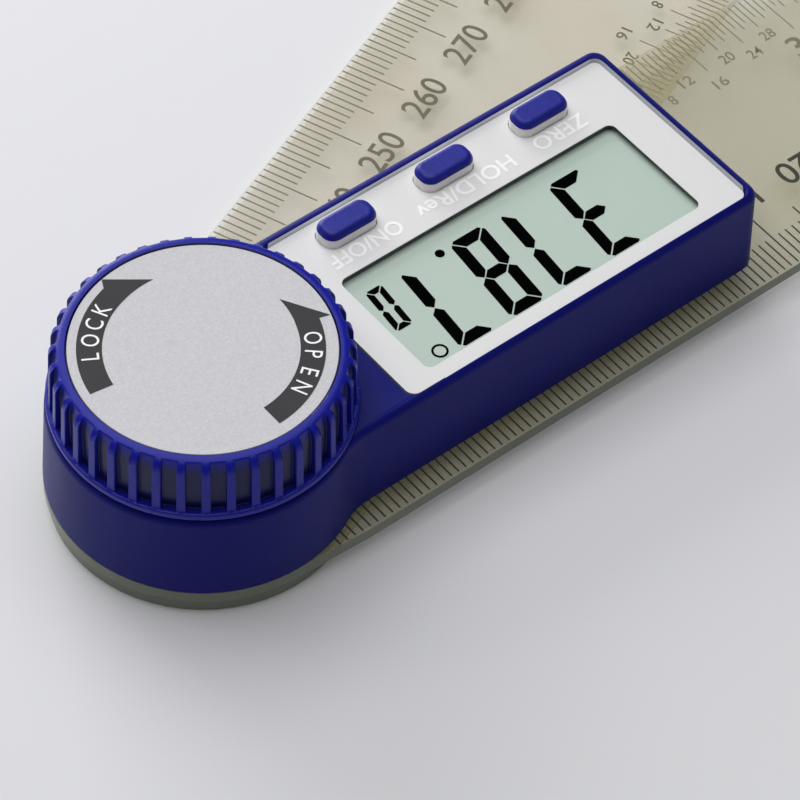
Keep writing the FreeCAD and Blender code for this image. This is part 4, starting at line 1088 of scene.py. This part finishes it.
@dataclass
class DisplayBlock:
    """Face plate, window, display figures, labels and the three buttons."""

    plate_top: float = 14.15
    glass_top: float = 13.25
    foot: float = 1.81
    start: float = 53.16
    pitch: float = 6.97
    big: FigureShape = FigureShape(4.7, 12.1, 1.42, 0.13)
    small: FigureShape = FigureShape(2.2, 6.25, 0.74, 0.1, 0.25)
    small_start: float = 25.16
    point: Point2 = (32.96, 1.36)
    point_radius: float = 0.55
    point_hole: float = 0.02
    degree: Point2 = (24.36, -9.19)
    degree_radius: float = 0.93
    degree_hole: float = 0.68
    label_height: float = 2.0
    label_line: float = 6.5

    STROKES = {"3": "abgcd", "7": "abc", "8": "abcdefg", "0": "abcdef"}
    LABELS = (("ON/OFF", 26.95, 9.5), ("HOLD/Rev", 40.85, 13.3), ("ZERO", 54.3, 7.2))
    SHELLS = (SoftShell("upper_case", "case", "blue_case", 0.1, crisp=14.6),
              SoftShell("base_cover", "case", "base", 0.08),
              SoftShell("battery_cover", "battery_cover", "base", 0.08),
              SoftShell("face_plate", "case", "plate", 0.06))

    def build(self, finishes: Finishes, letters: Letters) -> None:
        """Build and dress the block."""
        for shell in self.SHELLS:
            shell.build(finishes)
        for button in ("on_off_button", "hold_button", "zero_button"):
            SoftShell(button, button, "button_blue", steps=3).build(finishes)
            SoftShell(button + "_body", button, "button_grey", 0.1).build(finishes)
        self._figures(finishes)
        self._labels(finishes, letters)

    def _figures(self, finishes: Finishes) -> None:
        """Lay the display's reading on the glass; it is read from the plate's far side."""
        layer = PrintLayer("lcd_figures", self.glass_top, 0.01, 0.03)
        for number, figure in enumerate("3787"):
            self._figure(layer, self.big, figure, self.start - number * self.pitch)
        self._figure(layer, self.small, "0", self.small_start)
        layer.ring(self.point, self.point_radius, self.point_hole, 24)
        layer.ring(self.degree, self.degree_radius, self.degree_hole)
        layer.finish("case", "lcd_glass", finishes.of(finishes.FIGURES))

    def _figure(self, layer: PrintLayer, shape: FigureShape, figure: str, left: float) -> None:
        """Add one figure's strokes."""
        for letter in self.STROKES[figure]:
            layer.polygon([(left - x, self.foot - y) for x, y in shape.outline(Segment(letter))])

    def _labels(self, finishes: Finishes, letters: Letters) -> None:
        """Print the words under the buttons."""
        layer = PrintLayer("plate_labels", self.plate_top)
        for words, centre, width in self.LABELS:
            layer.words(letters, words, self.label_height, (centre, self.label_line), 180.0, width)
        layer.finish("case", "plate", finishes.of(finishes.LABELS))


@dataclass(frozen=True)
class TurnArrow:
    """One curved arrow on the knob's disc: angles in degrees, lengths in millimetres."""

    inner: float
    outer: float
    tail: float
    barb: float
    corner: Point2
    tip: Point2

    STEPS = 28
    NECK = 0.25

    def outline(self) -> list[Point2]:
        """Give the arrow's corners, from the tail along the outer arc to the tip and back."""
        steps = self.STEPS
        sweep = (self.barb - self.tail) / steps
        points = [self.at(self.outer, self.tail + sweep * n) for n in range(steps + 1)]
        points += [self.corner, self.tip]
        point_angle = math.degrees(math.atan2(self.tip[1], self.tip[0]))
        end = self.tail - 360.0 if self.tail - point_angle > 180.0 else self.tail
        reach = math.hypot(*self.tip)
        for n in range(1, steps + 1):
            share = n / steps
            radius = reach + (self.inner - reach) * min(1.0, share / self.NECK)
            points.append(self.at(radius, point_angle + (end - point_angle) * share))
        return points

    @staticmethod
    def at(radius: float, angle: float) -> Point2:
        """Give the place at a radius and an angle."""
        return radius * math.cos(math.radians(angle)), radius * math.sin(math.radians(angle))


@dataclass
class LockKnob:
    """Fluted knob with its printed disc."""

    disc_top: float = 22.73
    letter: float = 1.85
    narrow: float = 0.8
    letter_lift: float = 0.03

    ARROWS = (TurnArrow(10.3, 12.95, 171.3, 105.3, (-2.85, 13.6), (1.4, 10.4)),
              TurnArrow(10.0, 12.6, -89.3, -18.9, (13.1, -4.45), (10.2, 0.4)))
    WORDS = ((11.55, (("L", 149.2), ("O", 138.5), ("C", 127.7), ("K", 117.2))),
             (11.35, (("O", -30.9), ("P", -41.8), ("E", -53.9), ("N", -65.0))))

    def build(self, finishes: Finishes, letters: Letters) -> None:
        """Build and dress the knob, its disc and the disc's print."""
        SoftShell("lock_knob", "lock_knob", "knob_blue", 0.1, crisp=22.8).build(finishes)
        SoftShell("knob_disc", "lock_knob", "disc", 0.06).build(finishes)
        arrows = PrintLayer("knob_arrows", self.disc_top)
        for arrow in self.ARROWS:
            arrows.polygon(arrow.outline())
        arrows.finish("lock_knob", "disc", finishes.of(finishes.ARROWS))
        words = PrintLayer("knob_letters", self.disc_top + self.letter_lift)
        for radius, row in self.WORDS:
            for letter, angle in row:
                width = letters.width(letter) * self.letter * self.narrow
                words.words(letters, letter, self.letter, TurnArrow.at(radius, angle), angle - 90.0, width)
        words.finish("lock_knob", "disc", finishes.of(finishes.LABELS))


# ---------------------------------------------------------------- studio


@dataclass
class Studio:
    """Pale floor, soft lights and the camera."""

    azimuth: float = -131.506
    elevation: float = 51.023
    roll: float = 3.37
    distance: float = 423.18
    focal: float = 3929.07 / 800.0 * 36.0
    target: tuple[float, float, float] = (22.121, -5.825, 3.35)
    sensor: float = 36.0
    floor: Colour = screen(229, 229, 232)
    floor_reach: float = 3000.0
    floor_drop: float = 0.02
    room: Colour = (0.95, 0.96, 1.0, 1.0)
    room_strength: float = 0.135

    LAMPS = (("top lamp", (20.0, 130.0, 700.0), 0.8, 3.87), ("key lamp", (-60.0, 380.0, 400.0), 0.6, 0.6),
             ("back lamp", (120.0, 640.0, 200.0), 0.45, 3.0))

    def build(self, finishes: Finishes) -> None:
        """Set up camera, lights, floor and world."""
        self._camera()
        self._floor()
        self._lights()
        bpy.context.scene.view_settings.view_transform = "Standard"
        LOG.info("studio ready")

    def _camera(self) -> None:
        """Place the camera on its sphere round the target."""
        around, up = math.radians(self.azimuth), math.radians(self.elevation)
        back = Vector((math.cos(around) * math.cos(up), math.sin(around) * math.cos(up), math.sin(up)))
        right = (-back).cross(Vector((0, 0, 1))).normalized()
        above = right.cross(-back)
        tilt = math.radians(self.roll)
        side = right * math.cos(tilt) + above * math.sin(tilt)
        top = above * math.cos(tilt) - right * math.sin(tilt)
        data = bpy.data.cameras.new("Camera")
        data.sensor_width = self.sensor
        data.sensor_fit = "HORIZONTAL"
        data.lens = self.focal
        data.clip_start = 0.01
        camera = bpy.data.objects.new("Camera", data)
        eye = (Vector(self.target) + back * self.distance) * MM
        camera.matrix_world = Matrix((
            (side.x, top.x, back.x, eye.x), (side.y, top.y, back.y, eye.y), (side.z, top.z, back.z, eye.z),
            (0, 0, 0, 1)))
        bpy.context.scene.camera = show(camera)

    def _floor(self) -> None:
        """Lay a wide floor just under the lower arm."""
        mesh = bpy.data.meshes.new("floor")
        size, low = self.floor_reach * MM, -self.floor_drop * MM
        mesh.from_pydata([(-size, -size, low), (size, -size, low), (size, size, low), (-size, size, low)], [],
                         [(0, 1, 2, 3)])
        material = bpy.data.materials.new("pale floor")
        material.use_nodes = True
        bench = Bench(material.node_tree)
        shader = bench.add("ShaderNodeBsdfPrincipled", {"Base Color": self.floor, "Roughness": 0.9,
                                                        "Specular IOR Level": 0.1})
        bench.add("ShaderNodeOutputMaterial", {"Surface": shader.outputs[0]})
        mesh.materials.append(material)
        floor = show(bpy.data.objects.new("floor", mesh))

    def _lights(self) -> None:
        """Hang a large soft lamp overhead and two more behind the tool, and set a pale world."""
        for lamp in self.LAMPS:
            self._lamp(*lamp)
        world = bpy.data.worlds.new("pale room")
        world.use_nodes = True
        bench = Bench(world.node_tree)
        sky = bench.add("ShaderNodeBackground", {"Color": self.room, "Strength": self.room_strength})
        bench.add("ShaderNodeOutputWorld", {"Surface": sky.outputs[0]})
        bpy.context.scene.world = world

    def _lamp(self, name: str, place: tuple[float, float, float], size: float, power: float) -> None:
        """Hang a square area lamp that looks at the pivot."""
        data = bpy.data.lights.new(name, "AREA")
        data.size = size
        data.energy = power
        lamp = bpy.data.objects.new(name, data)
        lamp.location = Vector(place) * MM
        lamp.rotation_euler = (-lamp.location).to_track_quat("-Z", "Y").to_euler()
        show(lamp)


def main() -> None:
    """Build the studio and dress the tool, sub-assembly by sub-assembly."""
    logging.basicConfig(level=logging.INFO, format="%(name)s: %(message)s")
    finishes = Finishes(EffectGroups())
    letters, figures, labels = Letters(), Letters(0.006), Letters(0.016)
    Studio().build(finishes)
    finishes.dress_nodes()
    RulerArms().build(finishes, figures, MarkTree())
    DisplayBlock().build(finishes, labels)
    LockKnob().build(finishes, letters)


if __name__ == "__main__":
    main()
